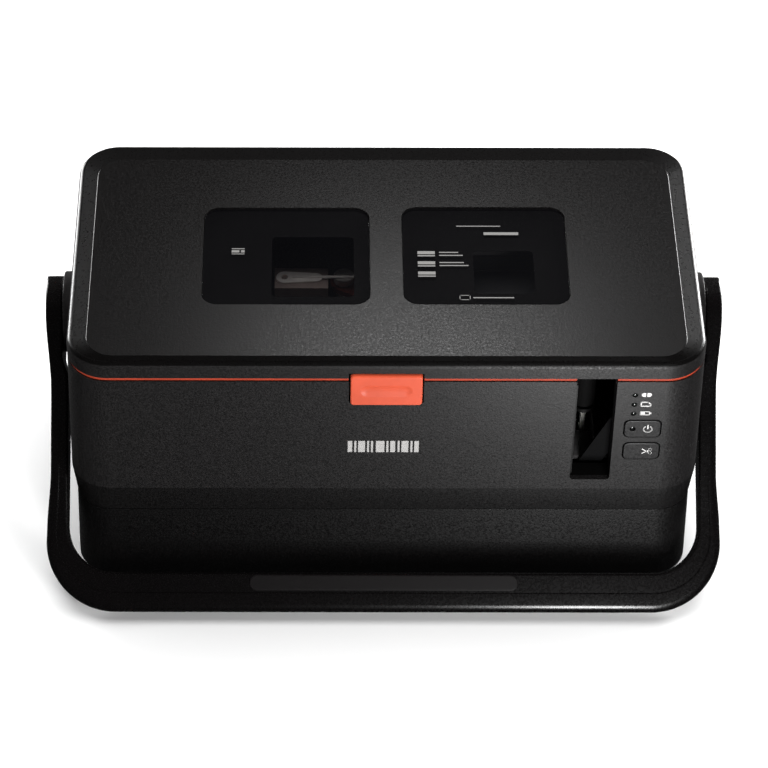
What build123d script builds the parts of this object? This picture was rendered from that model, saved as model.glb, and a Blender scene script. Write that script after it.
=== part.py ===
"""Desktop label and tube printer: lift-up cover, U handle, tape and tube units, cutter, keys, battery.

Everything is drawn in millimetres with y = 0 on the front face of the upper case and z = 0 at the feet.
save() then moves each piece to the part's own frame, whose origin is the bottom centre of the whole box.
"""

from build123d import *
from math import atan2, cos, pi, radians, sin, sqrt, tan
import os

os.makedirs("parts", exist_ok=True)

# ---------------------------------------------------------------- driving dimensions
BODY_W = 310.0          # upper case and cover, left to right
BODY_D = 162.0          # upper case and cover, front to back
BODY_R = 20.0           # plan corner radius
TOP_Z = 150.8           # flat of the cover
COVER_Z = 138.9         # lower edge of the cover
CASE_Z = 136.8          # upper edge of the upper case
BAND_Z = 63.0           # top of the chamfered band under the upper case
SEAM_Z = 46.0           # seam between upper case and base
BASE_Z = 0.8            # underside of the base
FLARE = 1.4             # the upper case is this much wider on each side at its band than at its top
SEAM_IN, SEAM_BACK_IN = 2.0, 5.0   # the band comes in by this much at the front and sides, and at the back
WALL = 3.0
GAP = 0.4               # clearance round a moving piece

PIVOT_Y, PIVOT_Z = 82.5, 106.0     # handle pivot
HANDLE_TILT = 42.0                 # the resting handle points this far below the horizontal, forwards
BAR_IN, BAR_OUT = 132.4, 152.4     # inner and outer distance of the handle bar from the pivot
BAR_T = 14.0                       # thickness of the handle bar across its face
BAR_EDGE = 3.0                     # chamfer along the handle's edges
EAR_R, EAR_IN, EAR_OUT = 18.0, 161.4, 169.7
BOSS_R, BOSS_IN, BOSS_OUT = 20.5, 152.5, 161.0     # the discs on the case's sides that carry the handle
PIVOT_HOLE_R = 5.0
KEY_CORNER_R = 3.0

# The whole box runs from the handle bar in front to the back of the case, and is centred on y = 0.
TILT = radians(HANDLE_TILT)
BAR_MID = (BAR_IN + BAR_OUT) / 2
BAR_HALF = (BAR_OUT - BAR_IN) / 2
BAR_REACH = max(
    BAR_HALF * cos(TILT) + (BAR_T / 2 - BAR_EDGE) * sin(TILT),
    (BAR_HALF - BAR_EDGE) * cos(TILT) + BAR_T / 2 * sin(TILT),
)
BAR_FRONT = PIVOT_Y - BAR_MID * cos(TILT) - BAR_REACH
FRONT_Y = -(BODY_D + BAR_FRONT) / 2

SLOT_X0, SLOT_X1, SLOT_Z = 91.8, 111.5, 69.5      # tape exit slot
BUTTON_X, BUTTON_Z0, BUTTON_Z1 = 17.4, 122.4, 141.6
LED_X, LED_ZS, LED_R = 120.5, (128.0, 121.6, 115.4), 1.2
POWER_KEY = (116.8, 134.3, 99.7, 110.8)           # x0, x1, z0, z1
CUT_KEY = (117.2, 134.6, 84.4, 95.4)
WINDOWS = {"left": (-90.4, -7.3, 39.6, 111.3), "right": (8.5, 90.6, 39.8, 112.0)}
CLEAR = {"left": (-56.0, -15.4, 47.0, 91.0), "right": (43.7, 73.6, 49.5, 80.8)}
WINDOW_R = 8.0

HINGE_Y, HINGE_Z, KNUCKLE_R, HINGE_PIN_R = 159.3, 137.6, 2.3, 1.0
HINGE_XS = (-95.0, 95.0)
KNUCKLE_LONG, KNUCKLE_SHORT = 29.2, 10.0

DECK_Z0, DECK_Z1 = 130.5, 133.0
LEFT_TUB = (-140.0, 14.0, 22.0, 146.0, 68.0)      # x0, x1, y0, y1, floor
TAPE_TUB = (25.0, 89.0, 24.0, 100.0, 84.0)
CHANNEL = (89.0, 120.0, 10.0, 92.0, 70.0)
TUB_WALL = 2.0

TUBE_R, TUBE_Y, TUBE_X, TUBE_Z = 3.0, 109.6, 107.5, 78.0   # tube passage: centre lines and height
TUBE_BEND = 35.0

GEAR_Z0, GEAR_Z1 = 56.0, 61.0
PLATE_Z0, PLATE_Z1 = 51.0, 53.0
MODULE, PRESSURE = 1.0, radians(20)
ADDENDUM, DEDENDUM, THINNING = 0.8, 1.15, 0.12
DRIVE_TEETH, MOTOR_TEETH, SMALL_TEETH, IDLER_TEETH, TUBE_TEETH = 36, 16, 24, 40, 36
PLATEN_AT = (100.0, 38.0)
PLATEN_R = 5.5
ARM_PIVOT = (98.5, 80.0)
BORE_CLEARANCE = 0.05

CUTTER_AT = (93.4, 60.0)                          # x, z of the blade pivot
CUTTER_Y, SECTOR_TEETH, CUTTER_MOTOR_TEETH = 13.5, 36, 12
CUTTER_OPEN = 25.0

BATTERY = (-66.0, 66.0, 80.0, 156.5, 7.0, 41.5)   # x0, x1, y0, y1, z0, z1
BAY_GAP = 0.5


# ---------------------------------------------------------------- helpers
def save(name, *solids):
    """Writes one node, moved from the case's front face to the part's own frame."""
    moved = [Pos(0, FRONT_Y, 0) * solid for solid in solids]
    export_step(moved[0] if len(moved) == 1 else Compound(children=moved), f"parts/{name}.step")


def block(x0, x1, y0, y1, z0, z1):
    return Pos((x0 + x1) / 2, (y0 + y1) / 2, (z0 + z1) / 2) * Box(x1 - x0, y1 - y0, z1 - z0)


def post(x, y, z0, z1, r):
    return Pos(x, y, (z0 + z1) / 2) * Cylinder(r, z1 - z0)


def rod_x(y, z, x0, x1, r):
    return Pos((x0 + x1) / 2, y, z) * Rot(0, 90, 0) * Cylinder(r, abs(x1 - x0))


def rod_y(x, z, y0, y1, r):
    return Pos(x, (y0 + y1) / 2, z) * Rot(90, 0, 0) * Cylinder(r, y1 - y0)


def slab(x0, x1, y0, y1, z0, z1, r):
    """A rounded rectangle in plan, extruded upwards."""
    plan = Pos((x0 + x1) / 2, (y0 + y1) / 2, z0) * RectangleRounded(x1 - x0, y1 - y0, r)
    return extrude(plan, z1 - z0)


def panel(x0, x1, y0, y1, z0, z1, r):
    """A rounded rectangle seen from the front, extruded from y0 back to y1."""
    face = Pos((x0 + x1) / 2, y1, (z0 + z1) / 2) * Rot(90, 0, 0) * RectangleRounded(x1 - x0, z1 - z0, r)
    return extrude(face, y1 - y0)


def body_slab(inset, z0, z1):
    """The case's plan, shrunk by an inset, extruded."""
    return slab(
        -BODY_W / 2 + inset, BODY_W / 2 - inset, inset, BODY_D - inset, z0, z1, BODY_R - inset
    )


def lofted(*levels):
    """A solid through rounded rectangles: each level is half width, front, back, radius and height."""
    faces = [
        Pos(0, (front + back) / 2, z) * RectangleRounded(2 * half, back - front, r)
        for half, front, back, r, z in levels
    ]
    spans = [loft([low, high], ruled=True) for low, high in zip(faces, faces[1:])]
    whole = spans[0]
    for span in spans[1:]:
        whole += span
    return whole


def capsule(a, b, ra, rb, z0, z1):
    """A flat link between two round ends."""
    ends = [Pos(a[0], a[1], z0) * Circle(ra), Pos(b[0], b[1], z0) * Circle(rb)]
    return extrude(make_hull((ends[0] + ends[1]).edges()), z1 - z0)


# ---------------------------------------------------------------- gears
def involute(angle):
    return tan(angle) - angle


def gear_face(teeth, phase=0.0):
    """An involute gear's outline. phase is the direction of one tooth's centre, in degrees."""
    pitch_r = MODULE * teeth / 2
    base_r = pitch_r * cos(PRESSURE)
    tip_r, root_r = pitch_r + ADDENDUM * MODULE, pitch_r - DEDENDUM * MODULE
    half_pitch = pi / (2 * teeth) - THINNING / (2 * pitch_r)

    def half_angle(radius):
        at = max(radius, base_r)
        return half_pitch + involute(PRESSURE) - involute(atan2(sqrt(at * at - base_r * base_r), base_r))

    start = max(base_r, root_r)
    flank = [root_r] * (root_r < base_r) + [start + (tip_r - start) * i / 4 for i in range(5)]
    points = []
    for tooth in range(teeth):
        centre = radians(phase) + 2 * pi * tooth / teeth
        sides = [(r, -half_angle(r)) for r in flank] + [(r, half_angle(r)) for r in reversed(flank)]
        points += [(r * cos(centre + a), r * sin(centre + a)) for r, a in sides]
    return make_face(Polyline(*points, close=True))


def meshed_phase(phase, teeth, direction, new_teeth):
    """The phase of a gear that meshes, in the given direction, with one of a known phase."""
    into_tooth = (direction - phase) / (360 / teeth)
    return direction + 180 - (0.5 - into_tooth) * 360 / new_teeth


def gear(at, teeth, phase, bore):
    wheel = extrude(Pos(at[0], at[1], GEAR_Z0) * gear_face(teeth, phase), GEAR_Z1 - GEAR_Z0)
    if bore:
        wheel -= post(at[0], at[1], GEAR_Z0 - 1, GEAR_Z1 + 1, bore)
    return wheel


def beside(at, direction, teeth, new_teeth):
    """The centre of a gear that meshes with another, in the given direction in degrees."""
    reach = MODULE * (teeth + new_teeth) / 2
    return (at[0] + reach * cos(radians(direction)), at[1] + reach * sin(radians(direction)))


# Gear centres: drive gear beside the platen gear, then motor pinion, ribbon spindle, two idlers, tube gear.
TO_PLATEN, TO_MOTOR, TO_SPINDLE, TO_IDLER_A, TO_IDLER_B, TO_TUBE = 0.0, 90.0, 160.0, 140.0, 145.0, 135.0
DRIVE_AT = beside(PLATEN_AT, TO_PLATEN + 180, SMALL_TEETH, DRIVE_TEETH)
MOTOR_AT = beside(DRIVE_AT, TO_MOTOR, DRIVE_TEETH, MOTOR_TEETH)
SPINDLE_AT = beside(DRIVE_AT, TO_SPINDLE, DRIVE_TEETH, SMALL_TEETH)
IDLER_A_AT = beside(SPINDLE_AT, TO_IDLER_A, SMALL_TEETH, IDLER_TEETH)
IDLER_B_AT = beside(IDLER_A_AT, TO_IDLER_B, IDLER_TEETH, IDLER_TEETH)
TUBE_ROLLER_AT = beside(IDLER_B_AT, TO_TUBE, IDLER_TEETH, TUBE_TEETH)

PLATEN_PHASE = meshed_phase(0.0, DRIVE_TEETH, TO_PLATEN, SMALL_TEETH)
MOTOR_PHASE = meshed_phase(0.0, DRIVE_TEETH, TO_MOTOR, MOTOR_TEETH)
SPINDLE_PHASE = meshed_phase(0.0, DRIVE_TEETH, TO_SPINDLE, SMALL_TEETH)
IDLER_A_PHASE = meshed_phase(SPINDLE_PHASE, SMALL_TEETH, TO_IDLER_A, IDLER_TEETH)
IDLER_B_PHASE = meshed_phase(IDLER_A_PHASE, IDLER_TEETH, TO_IDLER_B, IDLER_TEETH)
TUBE_PHASE = meshed_phase(IDLER_B_PHASE, IDLER_TEETH, TO_TUBE, TUBE_TEETH)

TUBE_ROLLER_R = TUBE_ROLLER_AT[1] - TUBE_Y - TUBE_R
CUTTER_PINION_Z = CUTTER_AT[1] - MODULE * (SECTOR_TEETH + CUTTER_MOTOR_TEETH) / 2


# ---------------------------------------------------------------- cover
def knuckle_spans(x):
    """Case, cover and case knuckles of one hinge, as pairs of ends along x."""
    half = KNUCKLE_LONG / 2
    outer = half + GAP + KNUCKLE_SHORT
    return (x - outer, x - half - GAP), (x - half, x + half), (x + half + GAP, x + outer)


def hinge_rod(span, r, grow=0.0):
    return rod_x(HINGE_Y, HINGE_Z, span[0] - grow, span[1] + grow, r)


def make_cover():
    edge = 147.0
    half, back = BODY_W / 2, BODY_D
    cover = lofted(
        (half, 0, back, BODY_R, COVER_Z),
        (half, 0, back, BODY_R, edge),
        (half - 0.8, 0.6, back - 0.8, BODY_R - 0.8, edge + 1.0),
        (half - 2.4, 1.6, back - 2.4, BODY_R - 2.4, edge + 1.7),
        (145.0, 3.5, back - 13.5, 13.0, TOP_Z),
    )
    cover -= body_slab(2.5, COVER_Z - 1, TOP_Z - 3.4)
    rib_z = (COVER_Z + 2.0, TOP_Z - 3.4)
    for x in (-120.0, 0.0, 120.0):
        cover += block(x - 0.8, x + 0.8, 14.0, 150.0, *rib_z)
    cover += block(-151.0, 151.0, 130.0, 131.6, *rib_z)
    # the button's notch in the front skirt
    cover -= block(-BUTTON_X - 0.8, BUTTON_X + 0.8, -1, 14.0, COVER_Z - 1, BUTTON_Z1 + 0.5)
    for x0, x1, y0, y1 in WINDOWS.values():
        cover -= slab(x0, x1, y0, y1, TOP_Z - 2.0, TOP_Z + 1, WINDOW_R)
        cover -= slab(x0 + 3, x1 - 3, y0 + 3, y1 - 3, COVER_Z, TOP_Z, WINDOW_R - 3)
    for x in HINGE_XS:
        case_a, own, case_b = knuckle_spans(x)
        cover += hinge_rod(own, KNUCKLE_R)
        cover += block(own[0], own[1], HINGE_Y - KNUCKLE_R, HINGE_Y + KNUCKLE_R, HINGE_Z, COVER_Z + 4)
        cover -= hinge_rod(own, HINGE_PIN_R + BORE_CLEARANCE, 1.0)
        for span in (case_a, case_b):
            cover -= hinge_rod(span, KNUCKLE_R + GAP + 0.05, GAP)
    save("top_cover", cover)


def make_windows():
    masks = []
    for side, (x0, x1, y0, y1) in WINDOWS.items():
        cx0, cx1, cy0, cy1 = CLEAR[side]
        mask = slab(x0 + 0.2, x1 - 0.2, y0 + 0.2, y1 - 0.2, TOP_Z - 2.0, TOP_Z - 1.7, WINDOW_R - 0.2)
        mask -= slab(cx0, cx1, cy0, cy1, TOP_Z - 3, TOP_Z, 2.5)
        masks.append(mask)
        pane = slab(x0 + 0.2, x1 - 0.2, y0 + 0.2, y1 - 0.2, TOP_Z - 1.7, TOP_Z - 0.4, WINDOW_R - 0.2)
        save(f"window_pane_{side}", pane)
    save("window_masks", *masks)


HOOK_X0, HOOK_X1 = 24.0, 32.0


def make_latch():
    hooks = []
    for x0, x1 in ((-HOOK_X1, -HOOK_X0), (HOOK_X0, HOOK_X1)):
        stem = block(x0, x1, 9.6, 11.6, 117.0, TOP_Z - 3.4)
        hooks.append(stem + block(x0, x1, 8.0, 9.6, 117.0, 121.0))
    save("latch_hooks", *hooks)
    bar = block(-36, 36, 4.6, 15.0, 124.0, 129.0)
    for x0, x1 in ((-HOOK_X1, -HOOK_X0), (HOOK_X0, HOOK_X1)):
        bar -= block(x0 - 1, x1 + 1, 6.2, 13.2, 120.0, 130.0)
    save("latch_bar", bar)
    button = panel(-BUTTON_X, BUTTON_X, -1.8, 4.6, BUTTON_Z0, BUTTON_Z1, 1.5)
    button = chamfer(button.faces().sort_by(Axis.Y)[0].edges(), 0.7)
    button -= panel(-BUTTON_X + 2, BUTTON_X - 2, 1.0, 6.0, BUTTON_Z0 + 2, BUTTON_Z1 - 2, 0.8)
    button -= panel(-12.5, 12.5, -3.0, -1.3, 130.0, 136.0, 2.9)
    button += block(-12, 12, 0.9, 4.6, 125.0, 128.0)
    save("release_button", button)


# ---------------------------------------------------------------- case
def make_upper_case():
    half, back = BODY_W / 2, BODY_D
    wide, low_half = half + FLARE, half + FLARE - SEAM_IN
    case = lofted(
        (low_half, SEAM_IN, back - SEAM_BACK_IN, BODY_R - SEAM_IN, SEAM_Z),
        (wide, 0, back, BODY_R, BAND_Z),
        (half, 0, back, BODY_R, CASE_Z),
    )
    cavity = lofted(
        (low_half - WALL, SEAM_IN + WALL, back - SEAM_BACK_IN - WALL, BODY_R - SEAM_IN - WALL, SEAM_Z - 1),
        (wide - WALL, WALL, back - WALL, BODY_R - WALL, BAND_Z + 2),
        (half - WALL, WALL, back - WALL, BODY_R - WALL, CASE_Z + 1),
    )
    case -= cavity
    for side in (-1, 1):
        case += rod_x(PIVOT_Y, PIVOT_Z, side * BOSS_IN, side * BOSS_OUT, BOSS_R)
    case -= panel(SLOT_X0, SLOT_X1, -5, 6, SLOT_Z, CASE_Z + 20, 2.0)
    case -= panel(-BUTTON_X - 0.8, BUTTON_X + 0.8, -5, 6, BUTTON_Z0 - 0.6, CASE_Z + 20, 1.8)
    case += block(-21, 21, WALL - 0.2, 16.0, BUTTON_Z0 - 2.6, BUTTON_Z0 - 0.6)
    for x0, x1, z0, z1 in (POWER_KEY, CUT_KEY):
        case -= panel(x0 - GAP, x1 + GAP, -5, 6, z0 - GAP, z1 + GAP, KEY_CORNER_R)
    for z in LED_ZS:
        case -= rod_y(LED_X, z, -5, 6, LED_R + 0.2)
    # tube inlet on the left side
    case -= rod_x(TUBE_Y, TUBE_Z, -BODY_W / 2 - 3, -BODY_W / 2 + 6, 9.0)
    for side in (-1, 1):
        case -= rod_x(PIVOT_Y, PIVOT_Z, side * (BOSS_IN - 1), side * (BOSS_OUT + 1), PIVOT_HOLE_R)
    # the rear wall steps down for the cover's hinge
    case -= block(-147, 147, 156.5, BODY_D + 2, HINGE_Z - 3.2, CASE_Z + 1)
    for x in HINGE_XS:
        case_a, own, case_b = knuckle_spans(x)
        for span in (case_a, case_b):
            case += hinge_rod(span, KNUCKLE_R)
            case += block(*span, HINGE_Y - 0.3, HINGE_Y + 1.0, HINGE_Z - 4, HINGE_Z)
            case -= hinge_rod(span, HINGE_PIN_R, 1.0)
        case -= hinge_rod(own, KNUCKLE_R + GAP + 0.05, GAP)
    save("upper_case", case)
    save(
        "hinge_pins",
        *[hinge_rod((knuckle_spans(x)[0][0], knuckle_spans(x)[2][1]), HINGE_PIN_R) for x in HINGE_XS],
    )


def make_accent_strip():
    z0, z1 = CASE_Z, COVER_Z - 0.3
    strip = body_slab(0.7, z0, z1) - body_slab(2.2, z0 - 1, z1 + 1)
    strip &= block(-200, 200, -5, 150.0, z0 - 1, z1 + 1)
    strip -= block(-BUTTON_X - 0.8, BUTTON_X + 0.8, -5, 6, z0 - 1, z1 + 1)
    strip -= block(SLOT_X0, SLOT_X1, -5, 6, z0 - 1, z1 + 1)
    save("accent_strip", *strip.solids())


FEET_AT = [(x, y) for x in (-125.0, 125.0) for y in (30.0, 136.0)]
SCREWS_AT = [(x, y) for x in (-138.0, 0.0, 138.0) for y in (22.0, 146.0) if x or y < 80]


def make_base():
    back, top_half = BODY_D - SEAM_BACK_IN - 0.5, BODY_W / 2 + FLARE - SEAM_IN
    foot_half, foot_front = top_half + 0.8, SEAM_IN - 1.0
    base = lofted(
        (foot_half - 0.7, foot_front + 0.7, back - 0.7, BODY_R - 2.0, BASE_Z),
        (foot_half, foot_front, back, BODY_R - 2.0, BASE_Z + 1),
        (top_half, SEAM_IN, back, BODY_R - 2.0, SEAM_Z),
    )
    base -= lofted(
        (foot_half - 2.5, foot_front + 2.5, back - 2.5, BODY_R - 4.5, BASE_Z + 2.5),
        (top_half - 2.5, SEAM_IN + 2.5, back - 2.5, BODY_R - 4.5, SEAM_Z + 1),
    )
    # cradle for the cutter motor, screw posts
    cradle = block(85, 101, 22, 42, BASE_Z + 2.0, 30) - rod_y(CUTTER_AT[0], CUTTER_PINION_Z, 20, 44, 10.0)
    base += cradle
    for x, y in SCREWS_AT:
        base += post(x, y, BASE_Z + 2.0, 22, 4.0)
    for x, y in SCREWS_AT:
        base -= post(x, y, BASE_Z - 1, BASE_Z + 1.8, 3.2)
        base -= post(x, y, BASE_Z + 1, 20, 1.5)
    for x, y in FEET_AT:
        base -= post(x, y, BASE_Z - 1, BASE_Z + 0.8, 8.0)
    bx0, bx1, by0, by1, bz0, bz1 = BATTERY
    base -= block(bx0 - BAY_GAP, bx1 + BAY_GAP, back - 8, back + 5, bz0 - BAY_GAP, bz1 + BAY_GAP)
    base -= block(JACK[0], JACK[1], back - 8, back + 5, BOARD_Z, JACK[2])
    base -= block(PORT[0], PORT[1], back - 8, back + 5, BOARD_Z, PORT[2])
    save("base_case", base)
    save("rubber_feet", *[post(x, y, 0, BASE_Z + 0.8, 8.0) for x, y in FEET_AT])
    screws = [
        post(x, y, BASE_Z + 0.4, BASE_Z + 1.8, 3.0) + post(x, y, BASE_Z + 1.8, 19, 1.5)
        for x, y in SCREWS_AT
    ]
    save("case_screws", *screws)


# ---------------------------------------------------------------- deck with its tubs, slot liner, tube guide
def tub(x0, x1, y0, y1, floor, front_wall=True):
    y_start = y0 - TUB_WALL if front_wall else y0
    return block(x0 - TUB_WALL, x1 + TUB_WALL, y_start, y1 + TUB_WALL, floor - TUB_WALL, DECK_Z1)


def guide_run(half, z0, z1):
    """The tube's route as a square bar of a half width: along x, round the bend, then forwards."""
    bend_x, bend_y = TUBE_X - TUBE_BEND, TUBE_Y - TUBE_BEND
    along = block(-BODY_W / 2, bend_x, TUBE_Y - half, TUBE_Y + half, z0, z1)
    ring = post(bend_x, bend_y, z0, z1, TUBE_BEND + half) - post(bend_x, bend_y, z0, z1, TUBE_BEND - half)
    ring &= block(bend_x, TUBE_X + half + 1, bend_y, TUBE_Y + half + 1, z0, z1)
    forwards = block(TUBE_X - half, TUBE_X + half, 16.5, bend_y, z0, z1)
    return along + ring + forwards


GUIDE_HALF, GUIDE_INNER, GUIDE_Z0, GUIDE_Z1 = 3.6, 3.1, 70.0, 83.5
TUBE_HEAD_X0, TUBE_HEAD_X1 = -55.0, -28.0


def make_deck():
    deck = body_slab(WALL, DECK_Z0, DECK_Z1)
    deck += tub(*LEFT_TUB) + tub(*TAPE_TUB)
    cx0, cx1, cy0, cy1, cz = CHANNEL
    deck += tub(cx0, cx1, 16.0, cy1, cz, front_wall=False)
    for x0, x1, y0, y1, floor in (LEFT_TUB, TAPE_TUB):
        deck -= block(x0, x1, y0, y1, floor, DECK_Z1 + 1)
    deck -= block(cx0, cx1, 16.0, cy1, cz, DECK_Z1 + 1)
    # the slot stays open to the top; the latch needs a pocket
    deck -= block(SLOT_X0, SLOT_X1, 0, 17, DECK_Z0 - 1, DECK_Z1 + 1)
    deck -= block(-40, 40, 0, 19.4, DECK_Z0 - 1, DECK_Z1 + 1)
    # passages for the shafts and the tube guide
    deck -= post(*SPINDLE_AT, 80, 86, 6.0)
    deck -= post(*TUBE_ROLLER_AT, 64, 70, 2.2)
    deck -= block(PLATEN_AT[0] - 3, PLATEN_AT[0] + 4.4, PLATEN_AT[1] - 4, PLATEN_AT[1] + 4, 66, 71)
    deck -= guide_run(GUIDE_HALF, GUIDE_Z0, GUIDE_Z1) & block(14, 130, 16, 120, 60, 90)
    deck -= block(-146, -138, TUBE_Y - GUIDE_HALF, TUBE_Y + GUIDE_HALF, GUIDE_Z0, GUIDE_Z1)
    save("deck", deck)


def make_tube_guide():
    bar = guide_run(GUIDE_HALF, GUIDE_Z0, GUIDE_Z1) - guide_run(GUIDE_INNER, TUBE_Z - TUBE_R, GUIDE_Z1 + 1)
    left = bar & block(-142, TUBE_HEAD_X0 + 2, 100, 120, 60, 90)
    right = bar & block(TUBE_HEAD_X1 + 2, 130, 0, 120, 60, 90)
    feet = block(-130, -58, TUBE_Y - GUIDE_HALF, TUBE_Y + GUIDE_HALF, LEFT_TUB[4], GUIDE_Z0)
    feet_right = block(-24, 13, TUBE_Y - GUIDE_HALF, TUBE_Y + GUIDE_HALF, LEFT_TUB[4], GUIDE_Z0)
    save("tube_guide", left + feet, right + feet_right)
    inlet = rod_x(TUBE_Y, TUBE_Z, -156.5, -142.0, 9.0) - rod_x(TUBE_Y, TUBE_Z, -160, -140, 5.0)
    save("tube_inlet", inlet)


def make_slot_liner():
    liner = block(SLOT_X0 - 2.2, SLOT_X1 + 2.0, WALL, 11.5, SLOT_Z - 2, DECK_Z0)
    liner -= block(SLOT_X0, SLOT_X1, WALL - 1, 12, SLOT_Z, DECK_Z0 + 1)
    for y in (4.6, 7.2, 9.8):
        liner += block(SLOT_X0, SLOT_X0 + 1.2, y - 0.5, y + 0.5, SLOT_Z, DECK_Z0)
    save("slot_liner", liner)


# ---------------------------------------------------------------- handle
def in_handle(shape):
    """Turns a shape drawn with the bar towards -y, round the pivot, to where the handle rests."""
    return Pos(0, PIVOT_Y, PIVOT_Z) * Rot(HANDLE_TILT, 0, 0) * shape


GRIP_X, GRIP_OUT = 67.5, 141.4


def grip_shape(grow=0.0):
    half, depth = BAR_T / 2 + 0.3, GRIP_OUT - BAR_IN + 0.4
    pad = block(-GRIP_X, GRIP_X, -GRIP_OUT, -GRIP_OUT + depth, -half, half)
    ends = [edge for edge in pad.edges().filter_by(Axis.Z) if edge.center().Y < -GRIP_OUT + 1]
    return fillet(ends, 5.0)


def make_handle():
    outer = [(EAR_OUT, 0), (167.2, -40), (167.4, -80), (EAR_OUT - 0.2, -114), (EAR_OUT - 0.2, -BAR_OUT)]
    inner = [(158.5, -BAR_IN), (158.5, -34), (EAR_IN, -24), (EAR_IN, 1)]
    outline = outer + [(-x, y) for x, y in reversed(outer)]
    hole = inner + [(-x, y) for x, y in reversed(inner)]
    face = make_face(Polyline(*outline, close=True))
    corners = [v for v in face.vertices() if v.Y < -BAR_OUT + 1]
    face = fillet(corners, 35.0)
    gap = make_face(Polyline(*hole, close=True))
    corners = [v for v in gap.vertices() if v.Y < -BAR_IN + 1]
    gap = fillet(corners, 23.0)
    slab_u = extrude(face - gap, 20, both=True)
    side = [(0, 16), (-45, 11.5), (-105, BAR_T / 2), (-BAR_OUT - 5, BAR_T / 2)]
    profile = side + [(y, -z) for y, z in reversed(side)]
    taper = extrude(Plane.YZ * make_face(Polyline(*profile, close=True)), 200, both=True)
    handle = slab_u & taper
    rims = [edge for edge in handle.edges() if edge.length > 8 and abs(edge.center().Z) > 5]
    rims = [edge for edge in rims if edge.center().Y < -50 and abs(edge.tangent_at(0.5).Z) < 0.9]
    handle = chamfer(rims, BAR_EDGE)
    for sign in (-1, 1):
        x0, x1 = sorted((sign * EAR_IN, sign * EAR_OUT))
        handle += rod_x(0, 0, x0, x1, EAR_R)
        x0, x1 = sorted((sign * (EAR_IN - 1), sign * (EAR_OUT - 2.5)))
        handle -= rod_x(0, 0, x0, x1, 5.0 + BORE_CLEARANCE)
    handle -= grip_shape()
    save("handle_frame", in_handle(handle))
    save("handle_grip", in_handle(grip_shape()))
    pins = [rod_x(PIVOT_Y, PIVOT_Z, *sorted((s * 151.0, s * (EAR_OUT - 2.9))), 5.0) for s in (-1, 1)]
    save("handle_pivots", *pins)


# ---------------------------------------------------------------- front keys and lamps
def make_keys():
    for name, (x0, x1, z0, z1) in {"power_key": POWER_KEY, "cut_key": CUT_KEY}.items():
        key = panel(x0, x1, -0.5, 3.4, z0, z1, 2.6)
        key += panel(x0 - 1.2, x1 + 1.2, 3.4, 4.4, z0 - 1.2, z1 + 1.2, 3.0)
        middle = ((x0 + x1) / 2, (z0 + z1) / 2)
        key += rod_y(middle[0], middle[1], 4.4, 6.8, 2.0)
        if name == "power_key":
            key -= rod_y(LED_X + 0.2, middle[1], -2, 6, LED_R + 0.3)
        save(name, key)
    lamps = [rod_y(LED_X, z, -0.1, 8.0, LED_R) for z in LED_ZS]
    lamps.append(rod_y(LED_X + 0.2, (POWER_KEY[2] + POWER_KEY[3]) / 2, -0.3, 8.0, LED_R))
    save("status_lamps", *lamps)
    board = block(115, 140, 8.0, 9.6, 80, DECK_Z0)
    for x0, x1, z0, z1 in (POWER_KEY, CUT_KEY):
        x, z = (x0 + x1) / 2, (z0 + z1) / 2
        board -= rod_y(x, z, 7.5, 8.4, 2.6)
    save("key_board", board)


# ---------------------------------------------------------------- electronics and battery
BOARD = (-132.0, -74.0, 30.0, 150.0)
BOARD_Z = 10.6
JACK = (-128.0, -118.0, 21.6)       # x0, x1, top
PORT = (-108.0, -96.0, 21.4)


def make_electronics():
    x0, x1, y0, y1 = BOARD
    board = block(x0, x1, y0, y1, BOARD_Z - 1.6, BOARD_Z)
    for x in (x0 + 6, x1 - 6):
        for y in (y0 + 12, y1 - 25):
            board += post(x, y, BASE_Z + 2.5, BOARD_Z - 1.6, 2.5)
    save("main_board", board)
    chips = [
        block(-120, -102, 60, 78, BOARD_Z, BOARD_Z + 2.2),
        block(-96, -84, 62, 74, BOARD_Z, BOARD_Z + 1.6),
        block(-128, -108, 90, 100, BOARD_Z, BOARD_Z + 2.0),
        block(-96, -82, 96, 112, BOARD_Z, BOARD_Z + 8.0),
        block(-131, -127, 50, 74, BOARD_Z, BOARD_Z + 5.0),
    ]
    chips += [post(x, 122, BOARD_Z, BOARD_Z + 14, 4.5) for x in (-90.0, -102.0, -114.0)]
    save("board_components", *chips)
    back = BODY_D - 5.5
    jx0, jx1, jz = JACK
    jack = block(jx0, jx1, 140, back, BOARD_Z, jz)
    save("power_jack", jack - rod_y((jx0 + jx1) / 2, (BOARD_Z + jz) / 2, 144, back + 1, 3.3))
    px0, px1, pz = PORT
    port = block(px0, px1, 140, back, BOARD_Z, pz)
    save("data_port", port - block(px0 + 1.6, px1 - 1.6, 145, back + 1, BOARD_Z + 1.4, pz - 1.4))


def make_battery():
    x0, x1, y0, y1, z0, z1 = BATTERY
    pack = slab(x0, x1, y0, y1 - 4, z0, z1, 2.0) + block(x0, x1, y1 - 6, y1, z0, z1)
    pack -= panel(-16, 16, y1 - 2.2, y1 + 1, z0 + 6, z0 + 18, 4.0)
    save("battery_pack", pack)
    g, t = BAY_GAP, 1.5
    rear = BODY_D - 8.0
    bay = block(x0 - g - t, x1 + g + t, y0 - g - t, rear, BASE_Z + 2.5, z1 + g + t)
    bay -= block(x0 - g, x1 + g, y0 - g, rear + 1, z0 - g, z1 + g)
    save("battery_bay", bay)


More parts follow.
